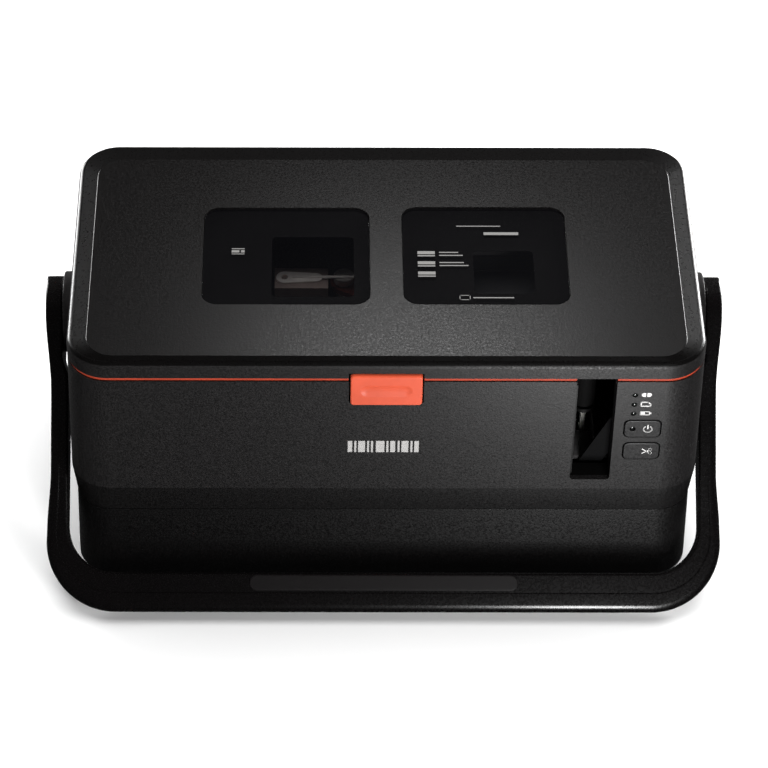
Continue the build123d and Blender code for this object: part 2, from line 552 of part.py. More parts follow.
# ---------------------------------------------------------------- drive train
def make_drive():
    plate = block(-62, 118, 24, 132, PLATE_Z0, PLATE_Z1)
    plate -= post(*MOTOR_AT, PLATE_Z0 - 1, PLATE_Z1 + 1, 4.0)
    plate -= post(*SPINDLE_AT, PLATE_Z0 - 1, PLATE_Z1 + 1, 2.0 + BORE_CLEARANCE)
    plate -= post(*TUBE_ROLLER_AT, PLATE_Z0 - 1, PLATE_Z1 + 1, 1.5 + BORE_CLEARANCE)
    for x, y, z in ((-56, 28, 4.5), (113, 30, 4.5), (113, 128, 4.5), (-56, 128, 43.5)):
        plate += post(x, y, z, PLATE_Z0 + 1, 3.0)
    for at in (DRIVE_AT, IDLER_A_AT, IDLER_B_AT):
        plate += post(*at, PLATE_Z0, GEAR_Z1 + 1.0, 1.5)
        plate += post(*at, PLATE_Z0, GEAR_Z0 - 0.3, 3.0)
    save("gear_plate", plate)

    axle = 1.5 + BORE_CLEARANCE
    save("drive_gear", gear(DRIVE_AT, DRIVE_TEETH, 0.0, axle))
    save("idler_gear_a", gear(IDLER_A_AT, IDLER_TEETH, IDLER_A_PHASE, axle))
    save("idler_gear_b", gear(IDLER_B_AT, IDLER_TEETH, IDLER_B_PHASE, axle))

    motor = post(*MOTOR_AT, 16, PLATE_Z0, 13.0) - post(*MOTOR_AT, 36, PLATE_Z0 + 1, 1.5 + BORE_CLEARANCE)
    save("feed_motor", motor)
    pinion = gear(MOTOR_AT, MOTOR_TEETH, MOTOR_PHASE, 0) + post(*MOTOR_AT, 38, GEAR_Z1, 1.5)
    save("feed_pinion", pinion)

    spindle = gear(SPINDLE_AT, SMALL_TEETH, SPINDLE_PHASE, 0)
    spindle += post(*SPINDLE_AT, PLATE_Z0, 122, 2.0) + post(*SPINDLE_AT, GEAR_Z1, 80, 4.0)
    save("ribbon_spindle", spindle)
    spool = post(*SPINDLE_AT, 88, 121, 7.0) - post(*SPINDLE_AT, 86, 122, 2.0)
    save("ribbon_takeup_spool", spool)

    tube_gear = gear(TUBE_ROLLER_AT, TUBE_TEETH, TUBE_PHASE, 0)
    tube_gear += post(*TUBE_ROLLER_AT, PLATE_Z0, 88, 1.5)
    save("tube_roller_gear", tube_gear)
    roller = post(*TUBE_ROLLER_AT, 71, 85, TUBE_ROLLER_R - 0.3) - post(*TUBE_ROLLER_AT, 70, 86, 1.5)
    save("tube_roller", roller)


# ---------------------------------------------------------------- tape unit
ARM_Z = (84.5, 86.5, 126.0, 128.0)


def make_tape_unit():
    x, y = PLATEN_AT
    save("platen_gear", gear(PLATEN_AT, SMALL_TEETH, PLATEN_PHASE, 0) + post(x, y, GEAR_Z1, 129.0, 1.5))
    save("platen_roller", post(x, y, 88.0, 125.5, PLATEN_R) - post(x, y, 87, 127, 1.5))

    low0, low1, high0, high1 = ARM_Z
    arm = capsule(ARM_PIVOT, PLATEN_AT, 6.0, 6.0, low0, low1)
    arm += capsule(ARM_PIVOT, PLATEN_AT, 6.0, 6.0, high0, high1)
    arm += block(102.0, 104.0, 48.0, 82.0, low0, high1)
    arm += block(98.0, 104.0, 74.0, 76.0, low0, high1)
    arm -= post(*PLATEN_AT, low0 - 1, high1 + 1, 1.5 + BORE_CLEARANCE)
    arm -= post(*ARM_PIVOT, low0 - 1, high1 + 1, 2.5 + BORE_CLEARANCE)
    save("tape_pressure_arm", arm)
    pin = post(*ARM_PIVOT, CHANNEL[4], high1 + 1, 2.5) + post(*ARM_PIVOT, CHANNEL[4], low0 - 0.3, 4.0)
    save("pressure_arm_pin", pin)

    save("tape_head_plate", block(90.6, 92.1, 28, 52, CHANNEL[4], 128.5))
    save("tape_print_head", block(92.1, 93.7, 32, 44, 88, 126))

    x0, x1, y0, y1 = 27.0, 87.0, 26.0, 98.0
    floor, split, top = TAPE_TUB[4], 127.5, 130.0
    shell = slab(x0, x1, y0, y1, floor, split, 3.0) - slab(x0 + 2, x1 - 2, y0 + 2, y1 - 2, 86, 140, 2.0)
    shell -= post(*SPINDLE_AT, 80, 90, 5.0)
    save("tape_cassette_case", shell)
    lid = slab(x0, x1, y0, y1, split, top, 3.0)
    lid -= slab(36, 78, 44, 88, split - 1, top + 1, 4.0)
    lid += slab(34, 80, 42, 90, split, split + 1.0, 4.0)
    save("tape_cassette_lid", lid)
    roll = post(60, 74, 87, 125, 18.0) - post(60, 74, 85, 126, 6.0)
    save("tape_roll", roll)


# ---------------------------------------------------------------- tube unit
HUB_AT = (-20.0, 98.0)
HUB_R = 4.0


def make_tube_unit():
    x0, x1 = TUBE_HEAD_X0, TUBE_HEAD_X1
    floor = LEFT_TUB[4] + 0.3
    bracket = block(x0, x1, 85, 100, 118.8, 120.0)
    bracket += block(x0, x1, 85, 86.2, 104, 120)
    bracket += block(x0 + 3, x1 - 3, 98.8, 100, floor, 120)
    bracket += block(x0 + 3, x0 + 4.2, 88, 100, floor, 119)
    bracket += block(x1 - 4.2, x1 - 3, 88, 100, floor, 119)
    save("tube_head_bracket", bracket)
    plate = capsule((-50.0, 92.0), (-34.0, 92.0), 4.2, 3.0, 120.0, 121.2)
    plate -= post(-50, 92, 119, 122, 1.8)
    plate += rod_x(92, 121.2, -46, -10, 0.8)
    save("tube_head_lever", plate)
    save("tube_print_head", block(-50, -33, 100, 106.2, 72, 84))

    save("lever_hub", post(*HUB_AT, LEFT_TUB[4], 116, HUB_R) + post(*HUB_AT, 113.5, 117, 5.0))
    lever = capsule(HUB_AT, (2.0, 82.0), 7.0, 4.0, 110.0, 113.0)
    lever += post(2.0, 82.0, 110.0, 122.0, 4.0)
    lever -= post(*HUB_AT, 109, 114, HUB_R + BORE_CLEARANCE)
    save("tube_release_lever", lever)

    rx0, rx1, ry0, ry1, rz0, rz1 = -134.0, -66.0, 24.0, 103.0, LEFT_TUB[4], 96.0
    cassette = slab(rx0, rx1, ry0, ry1, rz0, rz1, 5.0)
    cassette -= slab(rx0 + 2, rx1 - 2, ry0 + 2, ry1 - 2, rz0 + 2, rz1 - 2, 3.0)
    reels = []
    for x, y in ((-100.0, 46.0), (-100.0, 80.0)):
        cassette -= post(x, y, rz1 - 3, rz1 + 1, 8.0)
        reel = post(x, y, rz0 + 2.2, rz1 - 2.2, 15.0) + post(x, y, rz1 - 2.2, rz1 + 1.0, 7.0)
        reels.append(reel - post(x, y, rz0, rz1 + 2, 4.0))
    save("ribbon_cassette", cassette)
    save("ribbon_reels", *reels)


# ---------------------------------------------------------------- cutter
def in_front_view(face, y0, y1, x=0.0, z=0.0):
    """Stands a flat outline up, x to the right and its y upwards, between two depths."""
    return Pos(x, y1, z) * Rot(90, 0, 0) * extrude(face, y1 - y0)


def make_cutter():
    px, pz = CUTTER_AT
    y = CUTTER_Y
    fixed = block(78, px, y - 1.5, y - 0.3, BASE_Z + 2.5, 129)
    fixed -= block(86, px + 1, y - 2, y, 98, 106)
    fixed += rod_y(px, pz, y - 1.5, y + 3.5, 2.0) + block(82, px, y - 1.5, y - 0.3, 98, 106)
    fixed -= block(78, 88, y - 2, y, 74, 96)
    save("cutter_fixed_blade", fixed)

    outline = Polyline((-0.5, 4), (-0.5, 69), (4, 69), (11, 40), (9, -3), (-3, -3), close=True)
    blade = in_front_view(make_face(outline), y, y + 1.2)
    blade = Rot(0, CUTTER_OPEN, 0) * blade
    teeth = in_front_view(gear_face(SECTOR_TEETH, 270.0), y, y + 3.0)
    wedge = make_face(Polyline((0, 6), (-28, -20), (-14, -30), (9, -30), (9, 0), close=True))
    teeth &= in_front_view(wedge, y - 1, y + 4)
    blade = blade + teeth - rod_y(0, 0, y - 1, y + 4, 2.0 + BORE_CLEARANCE)
    save("cutter_moving_blade", Pos(px, 0, pz) * blade)

    phase = meshed_phase(270.0, SECTOR_TEETH, 270.0, CUTTER_MOTOR_TEETH)
    pinion = in_front_view(gear_face(CUTTER_MOTOR_TEETH, phase), y, y + 3.5)
    pinion += rod_y(0, 0, y + 3.5, 36, 1.5)
    save("cutter_pinion", Pos(px, 0, CUTTER_PINION_Z) * pinion)
    motor = rod_y(px, CUTTER_PINION_Z, 19, 46, 10.0)
    save("cutter_motor", motor - rod_y(px, CUTTER_PINION_Z, 18, 38, 1.5 + BORE_CLEARANCE))


make_cover()
make_windows()
make_latch()
make_upper_case()
make_accent_strip()
make_base()
make_deck()
make_tube_guide()
make_slot_liner()
make_handle()
make_keys()
make_electronics()
make_battery()
make_drive()
make_tape_unit()
make_tube_unit()
make_cutter()

print("front face at y", round(FRONT_Y, 3), "back at", round(FRONT_Y + BODY_D, 3))
for label, at in (
    ("drive", DRIVE_AT),
    ("motor", MOTOR_AT),
    ("spindle", SPINDLE_AT),
    ("idler a", IDLER_A_AT),
    ("idler b", IDLER_B_AT),
    ("tube roller", TUBE_ROLLER_AT),
):
    print(label, round(at[0], 4), round(at[1] + FRONT_Y, 4))
print("tube roller radius", round(TUBE_ROLLER_R, 3), "cutter pinion z", CUTTER_PINION_Z)
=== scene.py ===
"""Looks of a desktop label and tube printer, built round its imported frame.

Shapes are drawn in millimetres with y = 0 on the front face of the case and z = 0 under the feet.
place() turns such a point into the frame's metres.
"""

from math import cos, hypot, pi, radians, sin, sqrt

import bmesh
import bpy
from mathutils import Matrix, Vector


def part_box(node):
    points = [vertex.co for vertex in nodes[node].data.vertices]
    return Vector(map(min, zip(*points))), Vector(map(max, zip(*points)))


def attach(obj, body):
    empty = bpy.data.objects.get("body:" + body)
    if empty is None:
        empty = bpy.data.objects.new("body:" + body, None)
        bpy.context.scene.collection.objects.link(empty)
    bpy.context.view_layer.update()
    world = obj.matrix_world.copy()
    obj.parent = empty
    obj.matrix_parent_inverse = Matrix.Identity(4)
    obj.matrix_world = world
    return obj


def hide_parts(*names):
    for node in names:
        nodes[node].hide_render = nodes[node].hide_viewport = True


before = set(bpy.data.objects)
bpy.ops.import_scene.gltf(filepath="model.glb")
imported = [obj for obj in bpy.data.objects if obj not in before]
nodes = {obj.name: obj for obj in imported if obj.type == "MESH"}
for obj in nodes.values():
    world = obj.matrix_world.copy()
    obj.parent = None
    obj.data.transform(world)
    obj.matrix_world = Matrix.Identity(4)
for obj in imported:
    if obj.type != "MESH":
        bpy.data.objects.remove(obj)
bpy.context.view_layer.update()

# ---------------------------------------------------------------- dimensions, mm
MM = 0.001
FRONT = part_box("upper_case")[0].y
HALF_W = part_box("top_cover")[1].x / MM
TOP_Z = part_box("top_cover")[1].z / MM
DEPTH = (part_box("top_cover")[1].y - FRONT) / MM
CASE_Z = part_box("accent_strip")[0].z / MM
STRIP_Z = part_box("accent_strip")[1].z / MM
COVER_Z = STRIP_Z + 0.3
CORNER_R = 20.0
BAND_Z, SEAM_Z, BASE_Z = 63.0, 46.0, 0.8
FLARE, SEAM_IN, SEAM_BACK_IN = 1.4, 2.0, 5.0  # the case widens downwards, then its band comes in
WALL = 3.0

# x0, x1, y0, y1 of each window and of the clear area in it
WINDOWS = {"left": (-90.4, -7.3, 39.6, 111.3), "right": (8.5, 90.6, 39.8, 112.0)}
CLEAR = {"left": (-56.0, -15.4, 47.0, 91.0), "right": (43.7, 73.6, 49.5, 80.8)}
WINDOW_R, CLEAR_R = 8.0, 2.5
PANE_DOWN = 0.4                               # the panes lie this much below the flat

SLOT = (91.8, 111.5, 69.5)                    # x0, x1, lower end
BUTTON_X, BUTTON_Z0, BUTTON_Z1 = 17.4, 122.4, 141.6   # half width, lower and upper edge
# x0, x1, z0, z1 of each key
KEYS = {"power_key": (116.8, 134.3, 99.7, 110.8), "cut_key": (117.2, 134.6, 84.4, 95.4)}
BUTTON_GAP, KEY_GAP = 0.8, 0.6
LAMP_X, LAMP_ZS, LAMP_R = 120.5, (128.0, 121.6, 115.4), 1.2
POWER_LAMP = (120.7, 105.25)

PIVOT_Y, PIVOT_Z, HANDLE_TILT = 82.5, 106.0, 42.0
BAR_IN, BAR_OUT, BAR_HALF_T = 131.9, 151.8, 7.0
BAR_EDGE = 3.9
EAR_R, EAR_IN, EAR_OUT = 18.0, 161.4, 169.7
PIN_R, PIN_IN, PIN_OUT = 4.9, 152.0, 166.6
GRIP_X, GRIP_IN, GRIP_OUT = 67.5, 132.9, 141.2

HINGE_Y, HINGE_Z, KNUCKLE_R = 159.3, 137.6, 2.3
HINGE_XS = (-95.0, 95.0)
INLET_Y, INLET_Z = 109.6, 78.0
BATTERY = (-66.0, 66.0, 7.0, 41.5)            # x0, x1, z0, z1 of the pack's rear face
JACK, PORT = (-128.0, -118.0, 10.6, 21.6), (-108.0, -96.0, 10.6, 21.4)

CORNER_STEPS = 16
SHARP = radians(14) * 1.6                 # edges that turn more than this stay sharp


# ---------------------------------------------------------------- mesh helpers
def place(point):
    """A drawn point, in the frame's metres."""
    x, y, z = point
    return Vector((x * MM, FRONT + y * MM, z * MM))


def rounded(x0, x1, y0, y1, r, steps=CORNER_STEPS):
    """Points round a rounded rectangle, anticlockwise."""
    corners = ((x1 - r, y0 + r, -90), (x1 - r, y1 - r, 0), (x0 + r, y1 - r, 90), (x0 + r, y0 + r, 180))
    points = []
    for cx, cy, start in corners:
        for step in range(steps + 1):
            angle = radians(start + 90 * step / steps)
            points.append((cx + r * cos(angle), cy + r * sin(angle)))
    return points


def circle(cx, cy, r, steps=40):
    return [(cx + r * cos(2 * pi * i / steps), cy + r * sin(2 * pi * i / steps)) for i in range(steps)]


def in_plan(points, z):
    return [(x, y, z) for x, y in points]


def in_front(points, y):
    return [(x, y, z) for x, z in points]


def in_side(points, x):
    return [(x, y, z) for y, z in points]


def new_object(name, mesh):
    piece = bpy.data.objects.new(name, mesh)
    bpy.context.scene.collection.objects.link(piece)
    return piece


def skin(name, rings, closed=False, turn=None):
    """A solid through rings of equally many points, capped at both ends or closed into a loop."""
    bm = bmesh.new()
    rows = []
    for ring in rings:
        points = [place(turn @ Vector(p)) if turn else place(p) for p in ring]
        rows.append([bm.verts.new(p) for p in points])
    count = len(rows[0])
    pairs = list(zip(rows, rows[1:]))
    if closed:
        pairs.append((rows[-1], rows[0]))
    for low, high in pairs:
        for i in range(count):
            j = (i + 1) % count
            bm.faces.new((low[i], low[j], high[j], high[i]))
    if not closed:
        bm.faces.new(rows[0])
        bm.faces.new(rows[-1])
    bmesh.ops.recalc_face_normals(bm, faces=bm.faces)
    mesh = bpy.data.meshes.new(name)
    bm.to_mesh(mesh)
    bm.free()
    return new_object(name, mesh)


def lathe(name, profile, centre, axis, steps=40):
    """A turned solid: profile is (distance along the axis, radius), from one end to the other."""
    along = {"x": Vector((1, 0, 0)), "y": Vector((0, 1, 0)), "z": Vector((0, 0, 1))}[axis]
    side = Vector((0, 0, 1)) if axis != "z" else Vector((1, 0, 0))
    other = along.cross(side)
    rings = []
    for distance, r in profile:
        base = Vector(centre) + along * distance
        ring = [base + side * (r * cos(2 * pi * i / steps)) + other * (r * sin(2 * pi * i / steps))
                for i in range(steps)]
        rings.append(ring)
    return skin(name, rings)


def bake(piece):
    """Applies the piece's modifiers."""
    graph = bpy.context.evaluated_depsgraph_get()
    mesh = bpy.data.meshes.new_from_object(piece.evaluated_get(graph))
    piece.modifiers.clear()
    piece.data = mesh


def carve(piece, *cutters):
    """Cuts solids out of a piece, and removes them."""
    for cutter in cutters:
        change = piece.modifiers.new("carve", "BOOLEAN")
        change.operation = "DIFFERENCE"
        change.solver = "EXACT"
        change.object = cutter
        bake(piece)
        bpy.data.objects.remove(cutter)


def join(name, pieces):
    """One mesh object out of several loose ones."""
    bm = bmesh.new()
    for piece in pieces:
        bm.from_mesh(piece.data)
        bpy.data.objects.remove(piece)
    mesh = bpy.data.meshes.new(name)
    bm.to_mesh(mesh)
    bm.free()
    return new_object(name, mesh)


def soften(piece, width, segments=3):
    """Rounds edges by a width in mm, unless it is 0, and shades smoothly with the real edges kept."""
    if width:
        bevel = piece.modifiers.new("edges", "BEVEL")
        bevel.width = width * MM
        bevel.segments = segments
        bevel.limit_method = "ANGLE"
        bevel.angle_limit = radians(30)
        bevel.harden_normals = False
        bake(piece)
    piece.data.shade_smooth()
    piece.data.set_sharp_from_angle(angle=SHARP)
    weighted = piece.modifiers.new("normals", "WEIGHTED_NORMAL")
    weighted.keep_sharp = True
    weighted.weight = 80
    bake(piece)
    return piece


def finish(piece, material, body, slot, *stands_for):
    """Gives a piece its material and body, and hides the CAD nodes that it stands for; slot is not used.
    """
    if material is not None:
        piece.data.materials.clear()
        piece.data.materials.append(material)
    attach(piece, body)
    if stands_for:
        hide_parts(*stands_for)
    return piece


def bar(x0, x1, y0, y1):
    return [(x0, y0), (x1, y0), (x1, y1), (x0, y1)]


def box_solid(x0, x1, y0, y1, z0, z1):
    plan = bar(x0, x1, y0, y1)
    return skin("box", [in_plan(plan, z0), in_plan(plan, z1)])


def front_prism(points, y0, y1):
    return skin("prism", [in_front(points, y0), in_front(points, y1)])


def side_prism(points, x0, x1):
    return skin("prism", [in_side(points, x0), in_side(points, x1)])


# ---------------------------------------------------------------- materials
class Nodes:
    """A material's node tree, with short calls to add and link nodes."""

    def __init__(self, name):
        self.material = bpy.data.materials.new(name)
        self.material.use_nodes = True
        self.tree = self.material.node_tree
        self.shader = self.tree.nodes["Principled BSDF"]
        self.where = self.add("ShaderNodeTexCoord").outputs["Object"]

    def add(self, kind, **values):
        node = self.tree.nodes.new(kind)
        for key, value in values.items():
            setattr(node, key, value)
        return node

    def link(self, output, socket):
        self.tree.links.new(output, socket)

    def noise(self, size, detail=3.0, roughness=0.55):
        """Noise whose features are about size millimetres across."""
        noise = self.add("ShaderNodeTexNoise")
        noise.inputs["Scale"].default_value = 1 / (size * MM)
        noise.inputs["Detail"].default_value = detail
        noise.inputs["Roughness"].default_value = roughness
        self.link(self.where, noise.inputs["Vector"])
        return noise.outputs["Fac"]

    def ramp(self, value, low, high, out_low=0.0, out_high=1.0):
        mapping = self.add("ShaderNodeMapRange")
        mapping.inputs["From Min"].default_value = low
        mapping.inputs["From Max"].default_value = high
        mapping.inputs["To Min"].default_value = out_low
        mapping.inputs["To Max"].default_value = out_high
        self.link(value, mapping.inputs["Value"])
        return mapping.outputs["Result"]

    def mix(self, factor, colour_a, colour_b):
        mix = self.add("ShaderNodeMix", data_type="RGBA")
        self.link(factor, mix.inputs["Factor"])
        mix.inputs["A"].default_value = (*colour_a, 1)
        mix.inputs["B"].default_value = (*colour_b, 1)
        return mix.outputs["Result"]

    def colour(self, output):
        self.link(output, self.shader.inputs["Base Color"])

    def rough(self, output):
        self.link(output, self.shader.inputs["Roughness"])

    def bump(self, *heights):
        """heights are pairs of (value, height in millimetres)."""
        normal = None
        for value, height in heights:
            bump = self.add("ShaderNodeBump")
            bump.inputs["Strength"].default_value = 1.0
            bump.inputs["Distance"].default_value = height * MM
            self.link(value, bump.inputs["Height"])
            if normal is not None:
                self.link(normal, bump.inputs["Normal"])
            normal = bump.outputs["Normal"]
        self.link(normal, self.shader.inputs["Normal"])


def shade(colour, factor):
    return tuple(min(1.0, c * factor) for c in colour)


def grained_plastic(name, colour, roughness=0.45, specular=0.25, grain=1.0, height=0.1, speckle=0.5,
                    spread=0.12):
    """Moulded plastic with a spark-eroded grain: bright and dark specks, bump, and uneven gloss."""
    n = Nodes(name)
    fine = n.noise(grain, detail=2.0)
    n.colour(n.mix(n.ramp(fine, 0.36, 0.66), shade(colour, 1 - speckle), shade(colour, 1 + speckle)))
    n.rough(n.ramp(n.noise(grain * 1.3, detail=2.0), 0.32, 0.68, roughness - spread, roughness + spread))
    n.shader.inputs["Specular IOR Level"].default_value = specular
    n.bump((fine, height), (n.noise(grain * 2.6, detail=1.0), height * 0.35))
    return n.material


def smooth_plastic(name, colour, roughness=0.3, specular=0.4, grain=1.2, height=0.006):
    """Satin or gloss plastic with a faint moulded ripple and wear in its gloss."""
    n = Nodes(name)
    fine = n.noise(grain, detail=3.0)
    broad = n.noise(22.0, detail=3.0)
    n.colour(n.mix(n.ramp(broad, 0.3, 0.7), shade(colour, 0.9), shade(colour, 1.1)))
    n.rough(n.ramp(fine, 0.35, 0.65, roughness - 0.03, roughness + 0.04))
    n.shader.inputs["Specular IOR Level"].default_value = specular
    n.bump((fine, height))
    return n.material


def metal(name, colour, roughness=0.3, brushed=0.0, metallic=1.0):
    """Bare metal, brushed along x when brushed is above 0; with metallic below 1, part of the colour
    shows as diffuse brightness: a dull look on the bracket, a painted reflection on the nickel lever.
    """
    n = Nodes(name)
    n.shader.inputs["Metallic"].default_value = metallic
    mapping = n.add("ShaderNodeMapping")
    mapping.inputs["Scale"].default_value = (0.08 if brushed else 1.0, 1.0, 1.0)
    n.link(n.where, mapping.inputs["Vector"])
    n.where = mapping.outputs["Vector"]
    lines = n.noise(0.35, detail=4.0)
    broad = n.noise(9.0, detail=2.0)
    n.colour(n.mix(n.ramp(broad, 0.3, 0.7), shade(colour, 0.85), shade(colour, 1.1)))
    n.rough(n.ramp(lines, 0.3, 0.7, roughness - 0.06, roughness + 0.08))
    n.bump((lines, 0.004 + 0.01 * brushed))
    return n.material


def rubber(name, colour, roughness=0.75, specular=0.25):
    n = Nodes(name)
    fine = n.noise(0.8, detail=4.0)
    n.colour(n.mix(n.ramp(fine, 0.35, 0.65), shade(colour, 0.8), shade(colour, 1.2)))
    n.rough(n.ramp(fine, 0.35, 0.65, roughness - 0.08, roughness + 0.08))
    n.shader.inputs["Specular IOR Level"].default_value = specular
    n.bump((fine, 0.03))
    return n.material


def smoked_pane(name):
    """Polished smoked acrylic: dark, mirror smooth, and a little see-through."""
    n = Nodes(name)
    broad = n.noise(60.0, detail=1.0)
    n.colour(n.mix(n.ramp(broad, 0.3, 0.7), (0.004, 0.004, 0.005), (0.006, 0.006, 0.007)))
    n.rough(n.ramp(n.noise(5.0), 0.3, 0.7, 0.03, 0.05))
    n.shader.inputs["Specular IOR Level"].default_value = 0.35
    n.shader.inputs["Alpha"].default_value = 0.22
    return n.material


def white_print(name, colour=(0.78, 0.77, 0.76)):
    """Matt ink, slightly uneven."""
    n = Nodes(name)
    fine = n.noise(0.4, detail=3.0)
    n.colour(n.mix(n.ramp(fine, 0.3, 0.7), shade(colour, 0.88), colour))
    n.rough(n.ramp(fine, 0.3, 0.7, 0.5, 0.62))
    return n.material


# Each call: name, linear colour, roughness, specular level; grain and height are in mm.
# The cover's flat and band are darker than its sides: painted shade on the top faces.
PLATEAU_PAINTED_SHADE = grained_plastic("cover_top_painted_shade", (0.0024, 0.0020, 0.0020), 0.38, 0.42, grain=0.9,
                          height=0.06, spread=0.1)
BAND_PAINTED_SHADE = smooth_plastic("cover_band_painted_shade", (0.0025, 0.0022, 0.0022), 0.30, 0.35)
SKIRT = grained_plastic("cover_side_plastic", (0.0105, 0.0096, 0.0098), 0.54, 0.27, grain=0.8,
                        height=0.07)
CASE = grained_plastic("case_plastic", (0.0112, 0.0103, 0.0105), 0.48, 0.3, grain=0.8, height=0.08)
# A darker copy of the case plastic: painted shade on the band that slopes in below the case.
CASE_BAND_PAINTED_SHADE = grained_plastic("case_band_painted_shade", (0.0052, 0.0047, 0.0048), 0.5, 0.22, grain=0.8)
BASE = grained_plastic("base_plastic", (0.0036, 0.0032, 0.0033), 0.45, 0.32, grain=0.8,
                       height=0.11, speckle=0.6, spread=0.12)
HANDLE = smooth_plastic("handle_plastic", (0.0022, 0.0018, 0.0019), 0.27, 0.34)
GRIP = rubber("grip_rubber", (0.0062, 0.0054, 0.0056), 0.6, 0.12)
ORANGE = smooth_plastic("orange_plastic", (0.66, 0.092, 0.040), 0.42, 0.25, height=0.004)
# A darker copy of the button's orange: painted shade for the strip's recess.
STRIP_ORANGE_PAINTED_SHADE = smooth_plastic("strip_orange_painted_shade", (0.44, 0.052, 0.022), 0.55, 0.15, height=0.004)
LEVER_RED = smooth_plastic("lever_red", (0.085, 0.020, 0.014), 0.4, 0.3)
BLACK_PRINT = smooth_plastic("window_black_print", (0.0028, 0.0025, 0.0026), 0.5, 0.05)
PANE = smoked_pane("smoked_acrylic")
KEY = grained_plastic("key_plastic", (0.018, 0.0175, 0.018), 0.42, 0.25, height=0.03, speckle=0.35)
LENS = smooth_plastic("lamp_lens", (0.012, 0.014, 0.013), 0.12, 0.6)
# Lighter grey than the case: painted light, standing in for the haze seen through the smoked panes and
# for the light the inside lacks.
INNER_PAINTED_LIGHT = grained_plastic("inner_plastic", (0.062, 0.060, 0.061), 0.5, 0.3, grain=0.8,
                        height=0.05, speckle=0.25)
SLOT_BLACK = smooth_plastic("slot_plastic", (0.003, 0.0028, 0.0028), 0.4, 0.3)
FOOT = rubber("foot_rubber", (0.02, 0.02, 0.02))
ROLLER = rubber("roller_rubber", (0.006, 0.0056, 0.0058), 0.75, 0.05)
STEEL = metal("steel", (0.52, 0.51, 0.50), 0.34, brushed=1.0)
# Steel coloured near black: painted shade for the cutter blades in the slot and the tape head plate.
STEEL_PAINTED_SHADE = metal("steel_painted_shade", (0.003, 0.003, 0.0032), 0.7, brushed=1.0, metallic=0.9)
# Half metallic, so its pale colour shows as diffuse brightness: a painted reflection for the bright
# lever.
NICKEL_PAINTED_REFLECTION = metal("nickel_painted_reflection", (0.86, 0.80, 0.77), 0.35, metallic=0.3)
DULL_STEEL = metal("dull_bracket_steel", (0.34, 0.27, 0.25), 0.5, metallic=0.4)
SINK = metal("heat_sink_aluminium", (0.45, 0.45, 0.46), 0.45, brushed=1.0)
CERAMIC = smooth_plastic("head_ceramic", (0.22, 0.20, 0.18), 0.35, 0.5)
GEAR_WHITE = smooth_plastic("gear_acetal", (0.62, 0.61, 0.57), 0.4, 0.4)
BRASS = metal("brass", (0.65, 0.45, 0.16), 0.28)
BOARD = smooth_plastic("board_laminate", (0.012, 0.07, 0.022), 0.35, 0.5)
CHIP = smooth_plastic("chip_black", (0.01, 0.01, 0.011), 0.5, 0.35)
CASSETTE = smooth_plastic("cassette_plastic", (0.028, 0.028, 0.029), 0.5, 0.3)
TAPE = smooth_plastic("tape_white", (0.66, 0.65, 0.62), 0.5, 0.3)
INK = white_print("white_print")
MARK = white_print("mark_print", (0.46, 0.45, 0.44))
FAINT_MARK = white_print("faint_mark_print", (0.20, 0.195, 0.19))


# ---------------------------------------------------------------- cover
FILLET_Z0, BAND_LOW = 145.2, 148.6      # where the cover's outer fillet starts and ends
LIP = 0.32                               # the flat stands this much above the sloping band
FLAT = (145.0, 3.5, 148.5, 13.0)         # half width, front, back and corner radius of the cover's flat
FILLETS = ((2.4, 148.0), (1.6, 147.0), (0.9, 147.6))  # inset and turning height at side, front and back
COVER_SKIN, COVER_WALL = 3.4, 2.5


def fillet_inset(z, inset, turn_z):
    """How far the fillet has come in at height z: a parabola from upright to the band's slope."""
    a = FILLET_Z0 - 2 * turn_z + BAND_LOW
    b = 2 * (turn_z - FILLET_Z0)
    c = FILLET_Z0 - z
    t = (-b + sqrt(max(0.0, b * b - 4 * a * c))) / (2 * a)
    return inset * t * t


def cover_ring(side, front, back, r, z):
    return in_plan(rounded(-HALF_W + side, HALF_W - side, front, DEPTH - back, r), z)


